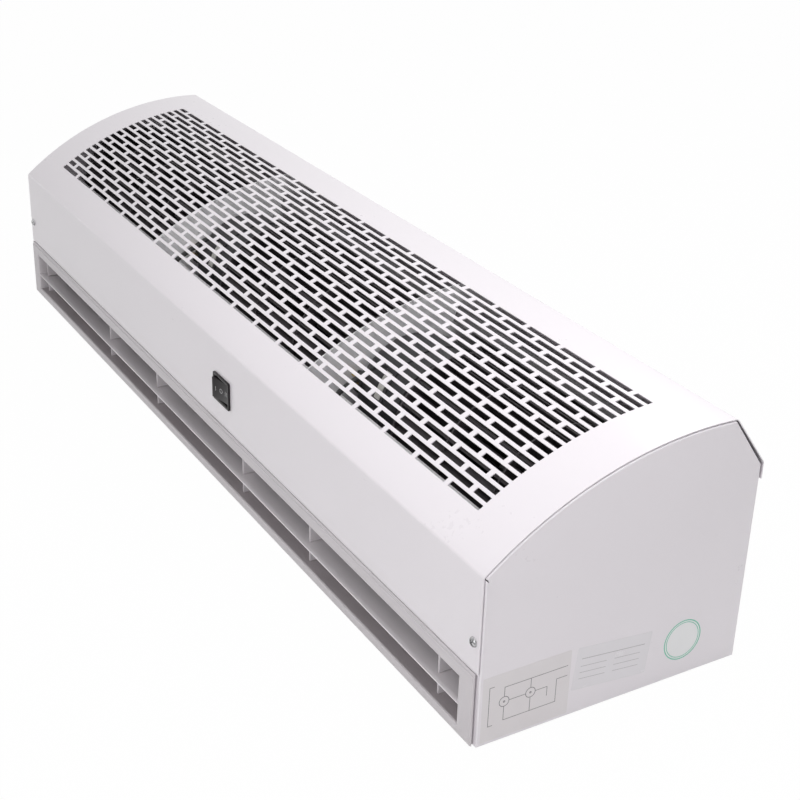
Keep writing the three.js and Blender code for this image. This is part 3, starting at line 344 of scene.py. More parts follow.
def make_finishes(look):
    """Every finish on the object, by the name of its slot in the record, and the prints on its labels."""
    make_relief_group()
    make_cloud_group()
    make_spangle_group()
    make_brush_group()
    paint = tuple(look.paint_colour)
    louvre = tuple(look.louvre_colour)
    peel = ("Fine Relief", {"Scale": 260.0, "Height": look.orange_peel})
    grain = ("Fine Relief", {"Scale": 2600.0, "Height": 0.00001})
    spangle = ("Zinc Spangle", {"Scale": 160.0})
    drawn = ("Drawn Marks", {})
    slow = {"Scale": 9.0, "Low": 0.3, "High": 0.75}
    fine = {"Scale": 60.0, "Low": 0.35, "High": 0.7}
    # Dark specks on the screws' heads: painted reflection of the dark surroundings.
    reflection_specks = {"Scale": 330.0, "Low": 0.4, "High": 0.55}
    gloss = {"Coat Weight": 0.35, "Coat Roughness": 0.12}
    metal = {"Metallic": 1.0}
    # slot or print: name, light colour, dark colour, (smoothest, roughest), clouds, relief, shader values
    table = {
        "paint": ("White Gloss Paint", paint, shade(paint, 0.985), (0.26, 0.32), slow, peel, gloss),
        "louvre_plastic": (
            "Grey Louvre Plastic", louvre, shade(louvre, 0.93), (0.34, 0.46), slow, grain, {}),
        # The louvre's grey made lighter for the blade: painted light on the blade's top.
        "painted_light_blade_plastic": (
            "Grey Blade Plastic", (0.78, 0.74, 0.765), (0.74, 0.70, 0.725), (0.34, 0.46), slow, grain, {}),
        # Painted shade: the dark grey of the duct's floor in shade under the blade.
        "painted_duct_shade": (
            "Dark Duct Lining", (0.44, 0.40, 0.415), (0.38, 0.345, 0.36), (0.45, 0.6), fine, grain, {}),
        # Galvanised sheet raised to near white and made mostly non-metallic: partly zinc's own grey, partly
        # painted light on the partitions lit through the slots.
        "zinc_sheet": (
            "Galvanised Sheet", (0.93, 0.92, 0.93), (0.84, 0.83, 0.85), (0.4, 0.55), fine, spangle,
            {"Metallic": 0.1}),
        # The same zinc darkened for the scroll: painted shade inside the cabinet.
        "painted_shade_zinc": (
            "Dull Galvanised Sheet", (0.25, 0.24, 0.25), (0.17, 0.165, 0.17), (0.4, 0.6), fine, spangle,
            {"Metallic": 0.4}),
        "impeller_plastic": (
            "Black Impeller Plastic", (0.045, 0.039, 0.043), (0.07, 0.062, 0.067), (0.36, 0.55), fine, grain,
            {}),
        "motor_paint": (
            "Motor Enamel", (0.045, 0.045, 0.05), (0.075, 0.073, 0.075), (0.38, 0.55), fine, peel,
            {"Metallic": 0.3}),
        "bright_steel": (
            "Bright Steel", (0.80, 0.80, 0.81), (0.62, 0.62, 0.64), (0.14, 0.26), fine, drawn, metal),
        # The screws' steel, its dark part painted reflection of the dark surroundings that the heads mirror.
        "screw_painted_reflection": (
            "Nickelled Screw", (0.70, 0.70, 0.71), (0.07, 0.07, 0.075), (0.16, 0.3), reflection_specks, drawn, metal),
        "bronze": (
            "Sintered Bronze", (0.50, 0.31, 0.14), (0.36, 0.22, 0.10), (0.4, 0.6), fine, grain, metal),
        "brass_tab": (
            "Stamped Brass", (0.78, 0.58, 0.22), (0.60, 0.42, 0.15), (0.24, 0.4), fine, drawn, metal),
        "rubber": (
            "Black Rubber", (0.022, 0.022, 0.023), (0.042, 0.042, 0.043), (0.62, 0.8), fine, grain, {}),
        "switch_plastic": (
            "Black Switch Plastic", (0.010, 0.008, 0.009), (0.015, 0.012, 0.014), (0.13, 0.22), fine, grain,
            {"Specular IOR Level": 0.22}),
        "white_plastic": (
            "White Moulded Plastic", (0.80, 0.79, 0.75), (0.70, 0.69, 0.65), (0.38, 0.5), fine, grain, {}),
        "black_sleeve": (
            "Black Sleeve", (0.025, 0.025, 0.026), (0.05, 0.05, 0.05), (0.42, 0.6), fine, grain, {}),
        "blue_lead": (
            "Blue Lead Insulation", (0.03, 0.10, 0.48), (0.02, 0.07, 0.36), (0.3, 0.42), fine, grain, {}),
        "label_film": (
            "Silvered Label Film", (0.735, 0.70, 0.715), (0.71, 0.675, 0.69), (0.3, 0.4), fine, drawn,
            {"Metallic": 0.1}),
        "clear_film": (
            "Clear Label Film", (0.775, 0.75, 0.78), (0.755, 0.73, 0.76), (0.22, 0.3), fine, drawn, {}),
        "label_paper": (
            "Pale Label Film", (0.83, 0.83, 0.84), (0.80, 0.80, 0.81), (0.3, 0.4), fine, grain, {}),
        "ink": (
            "Printed Ink", (0.16, 0.15, 0.16), (0.22, 0.21, 0.22), (0.4, 0.55), fine, grain, {}),
        "grey_ink": (
            "Pale Printed Ink", (0.38, 0.36, 0.38), (0.44, 0.42, 0.44), (0.4, 0.55), fine, grain, {}),
        "green_ink": (
            "Green Printed Ring", (0.16, 0.50, 0.37), (0.22, 0.56, 0.43), (0.35, 0.5), fine, grain, {}),
        "white_mark": (
            "White Switch Marks", (0.40, 0.39, 0.40), (0.3, 0.3, 0.3), (0.35, 0.5), fine, grain, {}),
    }
    return {key: finish(*values, **shader) for key, (*values, shader) in table.items()}


# ---------------------------------------------------------------- shaping


def only(geometry, kind):
    return [item for item in geometry if isinstance(item, kind)]


def pull(bm, edges, move=None, centre=None, turn=0.0):
    """Draws a row of edges out into faces, by a move or a turn about X. Returns the new row and the faces."""
    made = bmesh.ops.extrude_edge_only(bm, edges=edges)["geom"]
    verts = only(made, bmesh.types.BMVert)
    if turn:
        bmesh.ops.rotate(bm, verts=verts, cent=centre, matrix=Matrix.Rotation(turn, 3, "X"))
    if move is not None:
        bmesh.ops.translate(bm, verts=verts, vec=move)
    fresh = set(verts)
    row = [edge for edge in only(made, bmesh.types.BMEdge) if set(edge.verts) <= fresh]
    return row, only(made, bmesh.types.BMFace)


def draw_to(bm, vert, place):
    """Draws a line from a vertex to a place."""
    made = bmesh.ops.extrude_vert_indiv(bm, verts=[vert])
    end = made["verts"][0]
    end.co = place
    return end, made["edges"][0]


def frame_of(bm, sections):
    """A closed rectangular frame swept through sections of (half width, y, foot, top)."""
    half_x, y, foot, top = sections[0]
    corners = [(-half_x, y, foot), (half_x, y, foot), (half_x, y, top), (-half_x, y, top)]
    verts = [bm.verts.new(corner) for corner in corners]
    row = [bm.edges.new((verts[i - 1], verts[i])) for i in range(len(verts))]
    for old, new in zip(sections, sections[1:] + sections[:1]):
        row, _ = pull(bm, row)
        verts = list({vert for edge in row for vert in edge.verts})
        middle = Vector((0, old[1], (old[2] + old[3]) / 2))
        size = Vector((new[0] / old[0], 1, (new[3] - new[2]) / (old[3] - old[2])))
        bmesh.ops.scale(bm, verts=verts, vec=size, space=Matrix.Translation(-middle))
        bmesh.ops.translate(bm, verts=verts, vec=Vector((0, new[1], (new[2] + new[3]) / 2)) - middle)
    bmesh.ops.remove_doubles(bm, verts=bm.verts, dist=MERGE)
    bmesh.ops.recalc_face_normals(bm, faces=bm.faces)


def block(bm, low, high):
    """A closed box between two corners."""
    low, high = Vector(low), Vector(high)
    made = bmesh.ops.create_cube(bm, size=1.0)["verts"]
    bmesh.ops.scale(bm, verts=made, vec=high - low)
    bmesh.ops.translate(bm, verts=made, vec=(low + high) / 2)
    return made


def round_edges(bm, edges, radius, segments=3):
    bmesh.ops.bevel(
        bm, geom=edges, offset=radius, offset_type="OFFSET", segments=segments, profile=0.5,
        affect="EDGES", material=-1, clamp_overlap=True,
    )


def sharp_edges(bm, degrees=40):
    limit = math.radians(degrees)
    return [edge for edge in bm.edges if edge.is_manifold and edge.calc_face_angle(0) > limit]


def turned(bm, profile, centre, steps, axis=X_AXIS):
    """A closed body of (radius, place along the axis) pairs turned about the axis."""
    side = axis.orthogonal().normalized()
    verts = [bm.verts.new(centre + side * radius + axis * place) for radius, place in profile]
    edges = [bm.edges.new(pair) for pair in zip(verts, verts[1:])]
    if profile[0][0] > 0 and profile[-1][0] > 0:
        edges.append(bm.edges.new((verts[-1], verts[0])))
    bmesh.ops.spin(
        bm, geom=verts + edges, cent=centre, axis=axis, angle=math.tau, steps=steps, use_merge=True,
    )
    bmesh.ops.remove_doubles(bm, verts=bm.verts, dist=MERGE)


def through_modifier(bm, kind, tool=None, **settings):
    """The same mesh after one modifier. A tool is the mesh that a Boolean cuts away."""
    work = plain_object("work", bm)
    modifier = work.modifiers.new("work", kind)
    cutter = plain_object("cutter", tool) if tool else None
    if cutter:
        modifier.object = cutter
    for name, value in settings.items():
        setattr(modifier, name, value)
    depsgraph = bpy.context.evaluated_depsgraph_get()
    after = bpy.data.meshes.new_from_object(work.evaluated_get(depsgraph))
    result = bmesh.new()
    result.from_mesh(after)
    for scrap in filter(None, (work, cutter)):
        bpy.data.objects.remove(scrap)
    return result


def plain_object(name, bm):
    mesh = bpy.data.meshes.new(name)
    bm.to_mesh(mesh)
    bm.free()
    made = bpy.data.objects.new(name, mesh)
    bpy.context.scene.collection.objects.link(made)
    return made


def cut(bm, tool):
    """The mesh without what the tool's mesh fills."""
    bmesh.ops.recalc_face_normals(bm, faces=bm.faces)
    return through_modifier(bm, "BOOLEAN", tool, operation="DIFFERENCE", solver="EXACT")


def thicken(bm, thickness, outward=None):
    """Gives an open sheet its thickness, away from the side that its faces look to."""
    bmesh.ops.recalc_face_normals(bm, faces=bm.faces)
    if outward is not None:
        widest = max(bm.faces, key=lambda face: face.calc_area())
        if widest.normal.dot(outward) < 0:
            bmesh.ops.reverse_faces(bm, faces=bm.faces)
    return through_modifier(bm, "SOLIDIFY", thickness=thickness, offset=-1.0, use_even_offset=True)


def place_piece(name, bm, slot, body="cabinet", stands_for=(), recalculate=True, smooth=32, finish_name=None):
    """Makes the finished piece, with its material and its body, and hides the nodes that it stands for."""
    bmesh.ops.remove_doubles(bm, verts=bm.verts, dist=MERGE)
    if recalculate:
        bmesh.ops.recalc_face_normals(bm, faces=bm.faces)
    piece = plain_object(name, bm)
    piece.data.materials.append(FINISHES[finish_name or slot])
    piece.data.shade_smooth()
    piece.data.set_sharp_from_angle(angle=math.radians(smooth))
    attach(piece, body)
    if stands_for:
        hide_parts(*stands_for)
    return piece


def refined(name, source, slot, body="cabinet", radius=0.3 * MM, segments=2, smooth=35, levels=0,
            finish_name=None):
    """A merged copy of a node with its sharp edges rounded, in place of the node."""
    bm = bmesh.new()
    bm.from_mesh(NODES[source].data)
    bmesh.ops.remove_doubles(bm, verts=bm.verts, dist=NODE_MERGE)
    bmesh.ops.dissolve_limit(bm, angle_limit=math.radians(0.4), verts=bm.verts, edges=bm.edges)
    if radius:
        round_edges(bm, sharp_edges(bm), radius, segments)
    piece = place_piece(name, bm, slot, body, (source,), False, smooth, finish_name)
    if levels:
        smoother = piece.modifiers.new("Smooth", "SUBSURF")
        smoother.levels = smoother.render_levels = levels
    return piece


FINISHES = {}


# ---------------------------------------------------------------- cabinet


def grille_columns():
    """Every X at which a slot of either kind of row starts or ends."""
    offsets = (0.0, HALF_SLOT, HALF_SLOT + SLOT_BRIDGE, SLOT_LENGTH)
    return [SLOT_START + column * SLOT_PITCH + offset for column in range(COLUMNS) for offset in offsets]


def in_slot(x, row):
    """Whether X lies in a slot of this row. A row's bridges stand midway along its neighbours' slots."""
    if abs(x) > -SLOT_START:
        return False
    along = (x - SLOT_START) % SLOT_PITCH
    return along < SLOT_LENGTH if row % 2 == 0 else not HALF_SLOT < along < HALF_SLOT + SLOT_BRIDGE


def build_cover(look):
    """The sheet from the louvre over the arch to the rear lip, with every slot cut through it."""
    window_x = (SWITCH.x - WINDOW_HALF.x, SWITCH.x + WINDOW_HALF.x)
    window_z = (SWITCH.z - WINDOW_HALF.z, SWITCH.z + WINDOW_HALF.z)
    columns = sorted({-COVER_X, COVER_X, *window_x, *grille_columns()})
    bm = bmesh.new()
    end = bm.verts.new((columns[0], PANEL_Y, LOUVRE_TOP))
    row = []
    for x in columns[1:]:
        end, edge = draw_to(bm, end, (x, PANEL_Y, LOUVRE_TOP))
        row.append(edge)
    holes = []
    for z0, z1 in zip((LOUVRE_TOP, *window_z), (*window_z, CREASE_Z)):
        row, faces = pull(bm, row, move=(0, 0, z1 - z0))
        if z0 == window_z[0]:
            holes += [f for f in faces if window_x[0] < f.calc_center_median().x < window_x[1]]
    creases = list(row)
    bar = (ROW_PITCH - SLOT_WIDTH) / 2
    stops = [GRILLE_FRONT * i / FRONT_STEPS for i in range(1, FRONT_STEPS + 1)]
    slots = {}
    for r in range(ROWS):
        start = GRILLE_FRONT + r * ROW_PITCH + bar
        slots[start + SLOT_WIDTH] = r
        stops += [start, start + SLOT_WIDTH]
    rest = ARCH_LENGTH - stops[-1]
    stops += [stops[-1] + rest * i / REAR_STEPS for i in range(1, REAR_STEPS + 1)]
    last = 0.0
    for stop in stops:
        row, faces = pull(bm, row, centre=ARCH_CENTRE, turn=-(stop - last) / ARCH_RADIUS)
        if stop in slots:
            holes += [f for f in faces if in_slot(f.calc_center_median().x, slots[stop])]
        last = stop
    creases += row
    top = row[0].verts[0].co
    row, _ = pull(bm, row, move=(0, REAR_Y - top.y, SHOULDER_Z - top.z))
    creases += row
    pull(bm, row, move=(0, 0, -REAR_LIP))
    bmesh.ops.delete(bm, geom=holes, context="FACES")
    round_edges(bm, creases, look.crease_radius, 4)
    bm = thicken(bm, COVER_SHEET, outward=Vector((0, 1, 1)))
    corners = [
        edge for edge in sharp_edges(bm, 60)
        if abs(edge.calc_length() - COVER_SHEET) < 0.2 * MM
        and edge.verts[0].co.z > CREASE_Z + 2 * MM
        and abs(edge.verts[0].co.x) < -SLOT_START + MM
    ]
    round_edges(bm, corners, look.slot_corner, 2)
    place_piece("cover_sheet", bm, "paint", stands_for=("cover",))


def arc_point(radius, angle):
    return ARCH_CENTRE + Vector((0, radius * math.cos(angle), radius * math.sin(angle)))


def build_end_plate(name, source, side, look):
    """A folded pan: a flat end with a rounded bend and a flange under the cover and in the base."""
    radius = ARCH_RADIUS - INSET
    front = PANEL_Y + INSET
    start = math.acos((front - ARCH_CENTRE_Y) / radius)
    stop = SHOULDER_ANGLE + SHOULDER_SLOT / ARCH_RADIUS
    rear = REAR_Y - 2 * INSET
    bm = bmesh.new()
    first = bm.verts.new(arc_point(radius, start) + X_AXIS * END_X)
    spun = bmesh.ops.spin(
        bm, geom=[first], cent=ARCH_CENTRE, axis=X_AXIS, angle=stop - start, steps=28, use_merge=False,
    )
    last = only(spun["geom_last"], bmesh.types.BMVert)[0]
    foot = SHOULDER_Z - SHOULDER_SLOT
    last, slope = draw_to(bm, last, (END_X, rear, foot))
    last, _ = draw_to(bm, last, (END_X, rear, INSET))
    last, _ = draw_to(bm, last, (END_X, front, INSET))
    bm.edges.new((last, first))
    rim = [edge for edge in bm.edges if edge is not slope]
    bmesh.ops.contextual_create(bm, geom=list(bm.edges))
    pull(bm, rim, move=(-FLANGE, 0, 0))
    bmesh.ops.recalc_face_normals(bm, faces=bm.faces)
    bends = [
        edge for edge in bm.edges
        if edge.is_manifold and all(abs(vert.co.x - END_X) < MERGE for vert in edge.verts)
    ]
    round_edges(bm, bends, look.end_radius, 5)
    if side < 0:
        bmesh.ops.scale(bm, verts=bm.verts, vec=(-1, 1, 1))
    bm = thicken(bm, SHEET, outward=Vector((side, 0, 0)))
    slit = bmesh.new()
    made = block(slit, -SLIT_HALF, SLIT_HALF)
    bmesh.ops.rotate(slit, verts=made, cent=(0, 0, 0), matrix=Matrix.Rotation(-math.pi / 4, 3, "X"))
    bmesh.ops.translate(slit, verts=made, vec=(side * END_X, front, CREASE_Z - INSET))
    place_piece(name, cut(bm, slit), "paint", stands_for=(source,))


# ---------------------------------------------------------------- outlet


def build_louvre(look):
    """The louvre's frame: a stepped head, rounded bars and a rim that reaches into the duct."""
    rim = LOUVRE_FRONT + 10 * MM
    back = PANEL_Y + SHEET
    step = LOUVRE_FRONT + 0.9 * MM
    lip = step + 0.5 * MM
    side = LOUVRE_X - 0.3 * MM
    under = LOUVRE_X - 1.8 * MM
    foot = LOUVRE_FOOT + 0.3 * MM
    sections = [
        (under, back, LOUVRE_FOOT, LOUVRE_HEAD),
        (under, lip, LOUVRE_FOOT, LOUVRE_HEAD),
        (LOUVRE_X, lip, LOUVRE_FOOT, LOUVRE_HEAD),
        (LOUVRE_X, step, LOUVRE_FOOT, LOUVRE_HEAD),
        (side, step, foot, LOUVRE_HEAD - 2.6 * MM),
        (side, LOUVRE_FRONT, foot, LOUVRE_HEAD - 2.9 * MM),
        (OPENING_X, LOUVRE_FRONT, OPENING_FOOT, OPENING_TOP),
        (OPENING_X, rim, OPENING_FOOT, OPENING_TOP),
        (OPENING_X + LOUVRE_WALL, rim, OPENING_FOOT - LOUVRE_WALL, OPENING_TOP + LOUVRE_WALL),
        (OPENING_X + LOUVRE_WALL, back, OPENING_FOOT - LOUVRE_WALL, OPENING_TOP + LOUVRE_WALL),
    ]
    bm = bmesh.new()
    frame_of(bm, sections)
    rounded = [
        edge for edge in bm.edges
        if edge.is_manifold and edge.calc_face_angle() > 1.0
        and all(vert.co.y < LOUVRE_FRONT + 0.1 * MM for vert in edge.verts)
    ]
    round_edges(bm, rounded, look.louvre_radius)
    place_piece("louvre_frame", bm, "louvre_plastic", stands_for=("outlet_louvre",))
    # A dark grey sheet of painted shade lies on the opening's foot, where the duct begins; it stands for the
    # duct's floor in shade under the blade.
    reach = OPENING_X - 0.2 * MM
    painted_shade_sheet = bmesh.new()
    block(
        painted_shade_sheet, (-reach, LOUVRE_FRONT + 1.5 * MM, OPENING_FOOT - 0.1 * MM),
        (reach, PAINTED_SHADE_BACK, OPENING_FOOT + 0.2 * MM),
    )
    place_piece("outlet_lining", painted_shade_sheet, "louvre_plastic", finish_name="painted_duct_shade")
    # The blade takes the lighter copy of the louvre's plastic, painted light on its top.
    refined("louvre_blade", "outlet_blade", "louvre_plastic", radius=0.45 * MM, segments=3, smooth=50,
            finish_name="painted_light_blade_plastic")
    for i in range(1, FINS + 1):
        refined(f"louvre_fin_{i}", f"outlet_fin_{i}", "louvre_plastic", radius=0.35 * MM)


# ---------------------------------------------------------------- blower


def ring_profile(inner, outer, start, stop):
    """The (radius, place) corners of a ring's section."""
    return [(inner, start), (outer, start), (outer, stop), (inner, stop)]


def build_impeller(number, body, drive_left, look):
    """A crossflow impeller: curved blades between end discs, with stiffening rings between them."""
    low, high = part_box(f"impeller_{number}")
    x0, x1 = low.x, high.x
    length = x1 - x0
    centre = Vector((0, AXIS.y, AXIS.z))
    # One blade's section is an arc that leans forward at the tip.
    curve = centre + Vector((0, BLADE_ROOT + 4.5 * MM, 10.5 * MM))
    blades = bmesh.new()
    start = blades.verts.new(centre + Vector((x0 + END_DISC / 2, IMPELLER_RADIUS - 0.6 * MM, 0)))
    bmesh.ops.spin(
        blades, geom=[start], cent=curve, axis=X_AXIS, angle=-BLADE_TURN, steps=5, use_merge=False,
    )
    pull(blades, list(blades.edges), move=(length - END_DISC, 0, 0))
    blades = thicken(blades, look.blade_thickness)
    bmesh.ops.spin(
        blades, geom=[*blades.verts, *blades.edges, *blades.faces], cent=centre, axis=X_AXIS,
        angle=math.tau * (look.blade_count - 1) / look.blade_count, steps=look.blade_count - 1,
        use_duplicate=True,
    )
    bmesh.ops.recalc_face_normals(blades, faces=blades.faces)
    node_name = f"impeller_{number}"
    place_piece(f"{node_name}_blades", blades, "impeller_plastic", body, (node_name,))
    rings = bmesh.new()
    width = 1.6 * MM
    spans = max(2, round(length / look.ring_spacing))
    for i in range(1, spans):
        at = x0 + length * i / spans - width / 2
        profile = ring_profile(BLADE_ROOT - MM, IMPELLER_RADIUS - 0.2 * MM, at, at + width)
        turned(rings, profile, centre, 64)
    for at, wide in ((x0, drive_left), (x1 - END_DISC, not drive_left)):
        bore = HUB_BORE if wide else PIN_BORE
        turned(rings, ring_profile(bore, IMPELLER_RADIUS, at, at + END_DISC), centre, 64)
    place_piece(f"{node_name}_rings", rings, "impeller_plastic", body, (node_name,))


def build_shafts():
    for number, body in ((1, "left_rotor"), (2, "left_rotor"), (3, "right_rotor")):
        refined(f"impeller_{number}_rubber_hub", f"impeller_{number}_hub", "rubber", body, 0.6 * MM, 2, 50)
        refined(f"impeller_{number}_end_pin", f"impeller_{number}_pin", "bright_steel", body, 0.4 * MM, 2, 50)
    for number, body in ((1, "left_rotor"), (2, "right_rotor")):
        refined(f"motor_{number}_steel_shaft", f"motor_{number}_shaft", "bright_steel", body, 0.4 * MM, 2, 50)
    for place in ("left", "middle", "right"):
        refined(f"bearing_{place}_seat", f"bearing_seat_{place}", "rubber", radius=0.5 * MM, smooth=50)
        refined(f"bearing_{place}_bush", f"bearing_bush_{place}", "bronze", radius=0.3 * MM, smooth=50)


def build_motor(number, x0, x1, double):
    """A turned casing in two halves round its stack, with dark slabs of painted shade for the vents in both
    bells.
    """
    centre = Vector((0, AXIS.y, AXIS.z))
    middle = (x0 + x1) / 2
    shell = MOTOR_RADIUS - MM
    bell = MOTOR_RADIUS - 4 * MM
    nose = x1 + MOTOR_BOSS_LENGTH
    tail = x0 - MOTOR_BOSS_LENGTH
    left = [(MOTOR_FACE, x0), (bell, x0 + 3 * MM)]
    if double:
        left = [(MOTOR_BORE, tail), (MOTOR_BOSS, tail), (MOTOR_BOSS, x0), *left]
    else:
        left = [(MOTOR_BORE, x0), *left]
    stack = [
        (shell, x0 + 9 * MM), (shell, middle - 12.5 * MM), (MOTOR_RADIUS, middle - 12.5 * MM),
        (MOTOR_RADIUS, middle + 12.5 * MM), (shell, middle + 12.5 * MM), (shell, x1 - 9 * MM),
    ]
    right = [
        (bell, x1 - 3 * MM), (MOTOR_FACE, x1), (MOTOR_BOSS, x1), (MOTOR_BOSS, nose), (MOTOR_BORE, nose),
    ]
    bm = bmesh.new()
    turned(bm, [*left, *stack, *right], centre, 72)
    bmesh.ops.recalc_face_normals(bm, faces=bm.faces)
    place_piece(f"motor_{number}_shell", bm, "motor_paint", stands_for=(f"motor_{number}_casing",), smooth=40)
    # Dark slabs on both bells stand for the vent openings: painted shade.
    vent_shade = bmesh.new()
    half = Vector((0.3 * MM, 2 * MM, 5 * MM))
    for i in range(VENTS):
        turn = Matrix.Rotation(math.tau * (i + 0.5) / VENTS, 3, "X")
        for face_x in (x0, x1):
            middle = Vector((face_x, 0, 32 * MM))
            made = block(vent_shade, middle - half, middle + half)
            bmesh.ops.rotate(vent_shade, verts=made, cent=(0, 0, 0), matrix=turn)
            bmesh.ops.translate(vent_shade, verts=made, vec=centre)
    place_piece(f"motor_{number}_vents", vent_shade, "rubber")
    build_motor_fittings(number, x0, centre)


def build_motor_fittings(number, x0, centre):
    """A terminal seat with two brass blades on the casing's shoulder, and a white strap round its front."""
    seat = bmesh.new()
    low = (x0 + 2 * MM, MOTOR_RADIUS - 4 * MM, -8 * MM)
    high = (x0 + 11 * MM, MOTOR_RADIUS + 1.5 * MM, 8 * MM)
    block(seat, low, high)
    round_edges(seat, list(seat.edges), 0.6 * MM, 2)
    blades = bmesh.new()
    for side in (-4.5 * MM, 0.5 * MM):
        low = (x0 + 3.5 * MM, MOTOR_RADIUS + MM, side)
        high = (x0 + 9.5 * MM, MOTOR_RADIUS + 7 * MM, side + 0.9 * MM)
        block(blades, low, high)
    turn = Matrix.Rotation(math.radians(TERMINAL_ANGLE), 3, "X")
    for bm, name, slot in ((seat, "terminal_seat", "rubber"), (blades, "terminals", "brass_tab")):
        bmesh.ops.rotate(bm, verts=bm.verts, cent=(0, 0, 0), matrix=turn)
        bmesh.ops.translate(bm, verts=bm.verts, vec=centre)
        place_piece(f"motor_{number}_{name}", bm, slot)
    strap = bmesh.new()
    section = ring_profile(MOTOR_RADIUS + 0.1 * MM, MOTOR_RADIUS + 1.1 * MM, x0 + 33 * MM, x0 + 40 * MM)
    verts = [strap.verts.new(centre + Vector((x, radius, 0))) for radius, x in section]
    strap.faces.new(verts)
    start = Matrix.Rotation(math.radians(STRAP_ANGLES[0]), 3, "X")
    bmesh.ops.rotate(strap, verts=verts, cent=centre, matrix=start)
    bmesh.ops.spin(
        strap, geom=[*strap.verts, *strap.edges, *strap.faces], cent=centre, axis=X_AXIS,
        angle=math.radians(STRAP_ANGLES[1] - STRAP_ANGLES[0]), steps=8, use_merge=False,
    )
    place_piece(f"motor_{number}_strap", strap, "white_plastic")


def build_ducts():
    # The scroll takes the darkened copy of the zinc, painted shade; the guide and the partitions take the
    # lightened one, painted light.
    refined("scroll_sheet", "scroll", "zinc_sheet", radius=0, smooth=30, finish_name="painted_shade_zinc")
    refined("guide_sheet", "front_guide", "zinc_sheet", radius=0, smooth=30)
    for side in ("left", "right"):
        refined(f"partition_{side}_sheet", f"partition_{side}", "zinc_sheet", radius=0.2 * MM, segments=1)


# ---------------------------------------------------------------- switch, wiring, screws, labels


def extrude_face(bm, face, move):
    """Pushes a face in or out and removes the face that stays behind."""
    made = bmesh.ops.extrude_face_region(bm, geom=[face])["geom"]
    bmesh.ops.translate(bm, verts=only(made, bmesh.types.BMVert), vec=move)
    bmesh.ops.delete(bm, geom=[face], context="FACES")


def build_switch(look):
    """A snap-in rocker switch: a rounded bezel with a sloping well round the rocker."""
    bm = bmesh.new()
    front = PANEL_Y - SWITCH_PROUD
    block(bm, SWITCH - SWITCH_HALF - Vector((0, SWITCH_PROUD, 0)), SWITCH + SWITCH_HALF)
    corners = [e for e in bm.edges if abs(e.verts[0].co.y - e.verts[1].co.y) > MM]
    round_edges(bm, corners, 1.6 * MM, 4)
    face = min(bm.faces, key=lambda f: f.calc_center_median().y)
    bmesh.ops.inset_region(bm, faces=[face], thickness=1.9 * MM, depth=0.0)
    bmesh.ops.inset_region(bm, faces=[face], thickness=0.7 * MM, depth=-0.9 * MM)
    extrude_face(bm, face, (0, 10 * MM, 0))
    back = max((f for f in bm.faces if f.normal.y > 0.9), key=lambda f: f.calc_area())
    bmesh.ops.inset_region(bm, faces=[back], thickness=1.7 * MM, depth=0.0)
    extrude_face(bm, back, (0, 24 * MM, 0))
    bmesh.ops.recalc_face_normals(bm, faces=bm.faces)
    rims = [e for e in sharp_edges(bm, 25) if all(v.co.y < front + 0.1 * MM for v in e.verts)]
    round_edges(bm, rims, look.switch_radius)
    place_piece("switch_bezel", bm, "switch_plastic", stands_for=("switch_body",))
    build_rocker()
    for i in (1, 2, 3):
        refined(f"switch_blade_{i}", f"switch_tab_{i}", "brass_tab", radius=0.15 * MM)


def dish(t):
    """Y of the rocker's front, from its middle at t = 0 to a tip at 1 or -1."""
    return ROCKER_DIP + (ROCKER_TIP - ROCKER_DIP) * t * t


def build_rocker():
    """The rocker: a dished front that rises to both tips, and a belly round its pivot."""
    steps = 8
    foot = SWITCH.z - ROCKER_HALF
    bm = bmesh.new()
    end = first = bm.verts.new((SWITCH.x - ROCKER_REACH, ROCKER_TIP, foot))
    for i in range(1, steps + 1):
        t = 2 * i / steps - 1
        end, _ = draw_to(bm, end, (SWITCH.x + ROCKER_REACH * t, dish(t), foot))
    for run, back in ((12.1, 1.2), (6, 6.5), (-6, 6.5), (-12.1, 1.2)):
        end, _ = draw_to(bm, end, (SWITCH.x + run * MM, PANEL_Y + back * MM, foot))
    bm.edges.new((end, first))
    side = bmesh.ops.contextual_create(bm, geom=list(bm.edges))["faces"]
    made = bmesh.ops.extrude_face_region(bm, geom=side)["geom"]
    bmesh.ops.translate(bm, verts=only(made, bmesh.types.BMVert), vec=(0, 0, 2 * ROCKER_HALF))
    bmesh.ops.recalc_face_normals(bm, faces=bm.faces)
    rims = [e for e in sharp_edges(bm) if all(v.co.y < PANEL_Y - MM for v in e.verts)]
    round_edges(bm, rims, 0.5 * MM)
    tilt = Matrix.Rotation(ROCKER_TILT, 3, "Z")
    bmesh.ops.rotate(bm, verts=bm.verts, cent=ROCKER_PIVOT, matrix=tilt)
    place_piece("rocker_cap", bm, "switch_plastic", "rocker", ("switch_rocker",), smooth=45)
    # The marks: a ring in the middle, one bar towards one tip and two towards the other.
    marks = bmesh.new()
    low, high = -0.06 * MM, 0.12 * MM
    turned(marks, ring_profile(1.5 * MM, 2.1 * MM, low, high), SWITCH, 24, Vector((0, 1, 0)))
    bmesh.ops.translate(marks, verts=marks.verts, vec=(0, ROCKER_DIP - PANEL_Y, 0))
    for run in (-7.6 * MM, 6.6 * MM, 8.6 * MM):
        t = run / ROCKER_REACH
        made = block(marks, (-0.3 * MM, low, -2 * MM), (0.3 * MM, high, 2 * MM))
        slope = Matrix.Rotation(2 * (ROCKER_TIP - ROCKER_DIP) * t / ROCKER_REACH, 3, "Z")
        bmesh.ops.rotate(marks, verts=made, cent=(0, 0, 0), matrix=slope)
        bmesh.ops.translate(marks, verts=made, vec=(SWITCH.x + run, dish(t), SWITCH.z))
    bmesh.ops.rotate(marks, verts=marks.verts, cent=ROCKER_PIVOT, matrix=tilt)
    place_piece("rocker_marks", marks, "switch_plastic", "rocker", finish_name="white_mark")


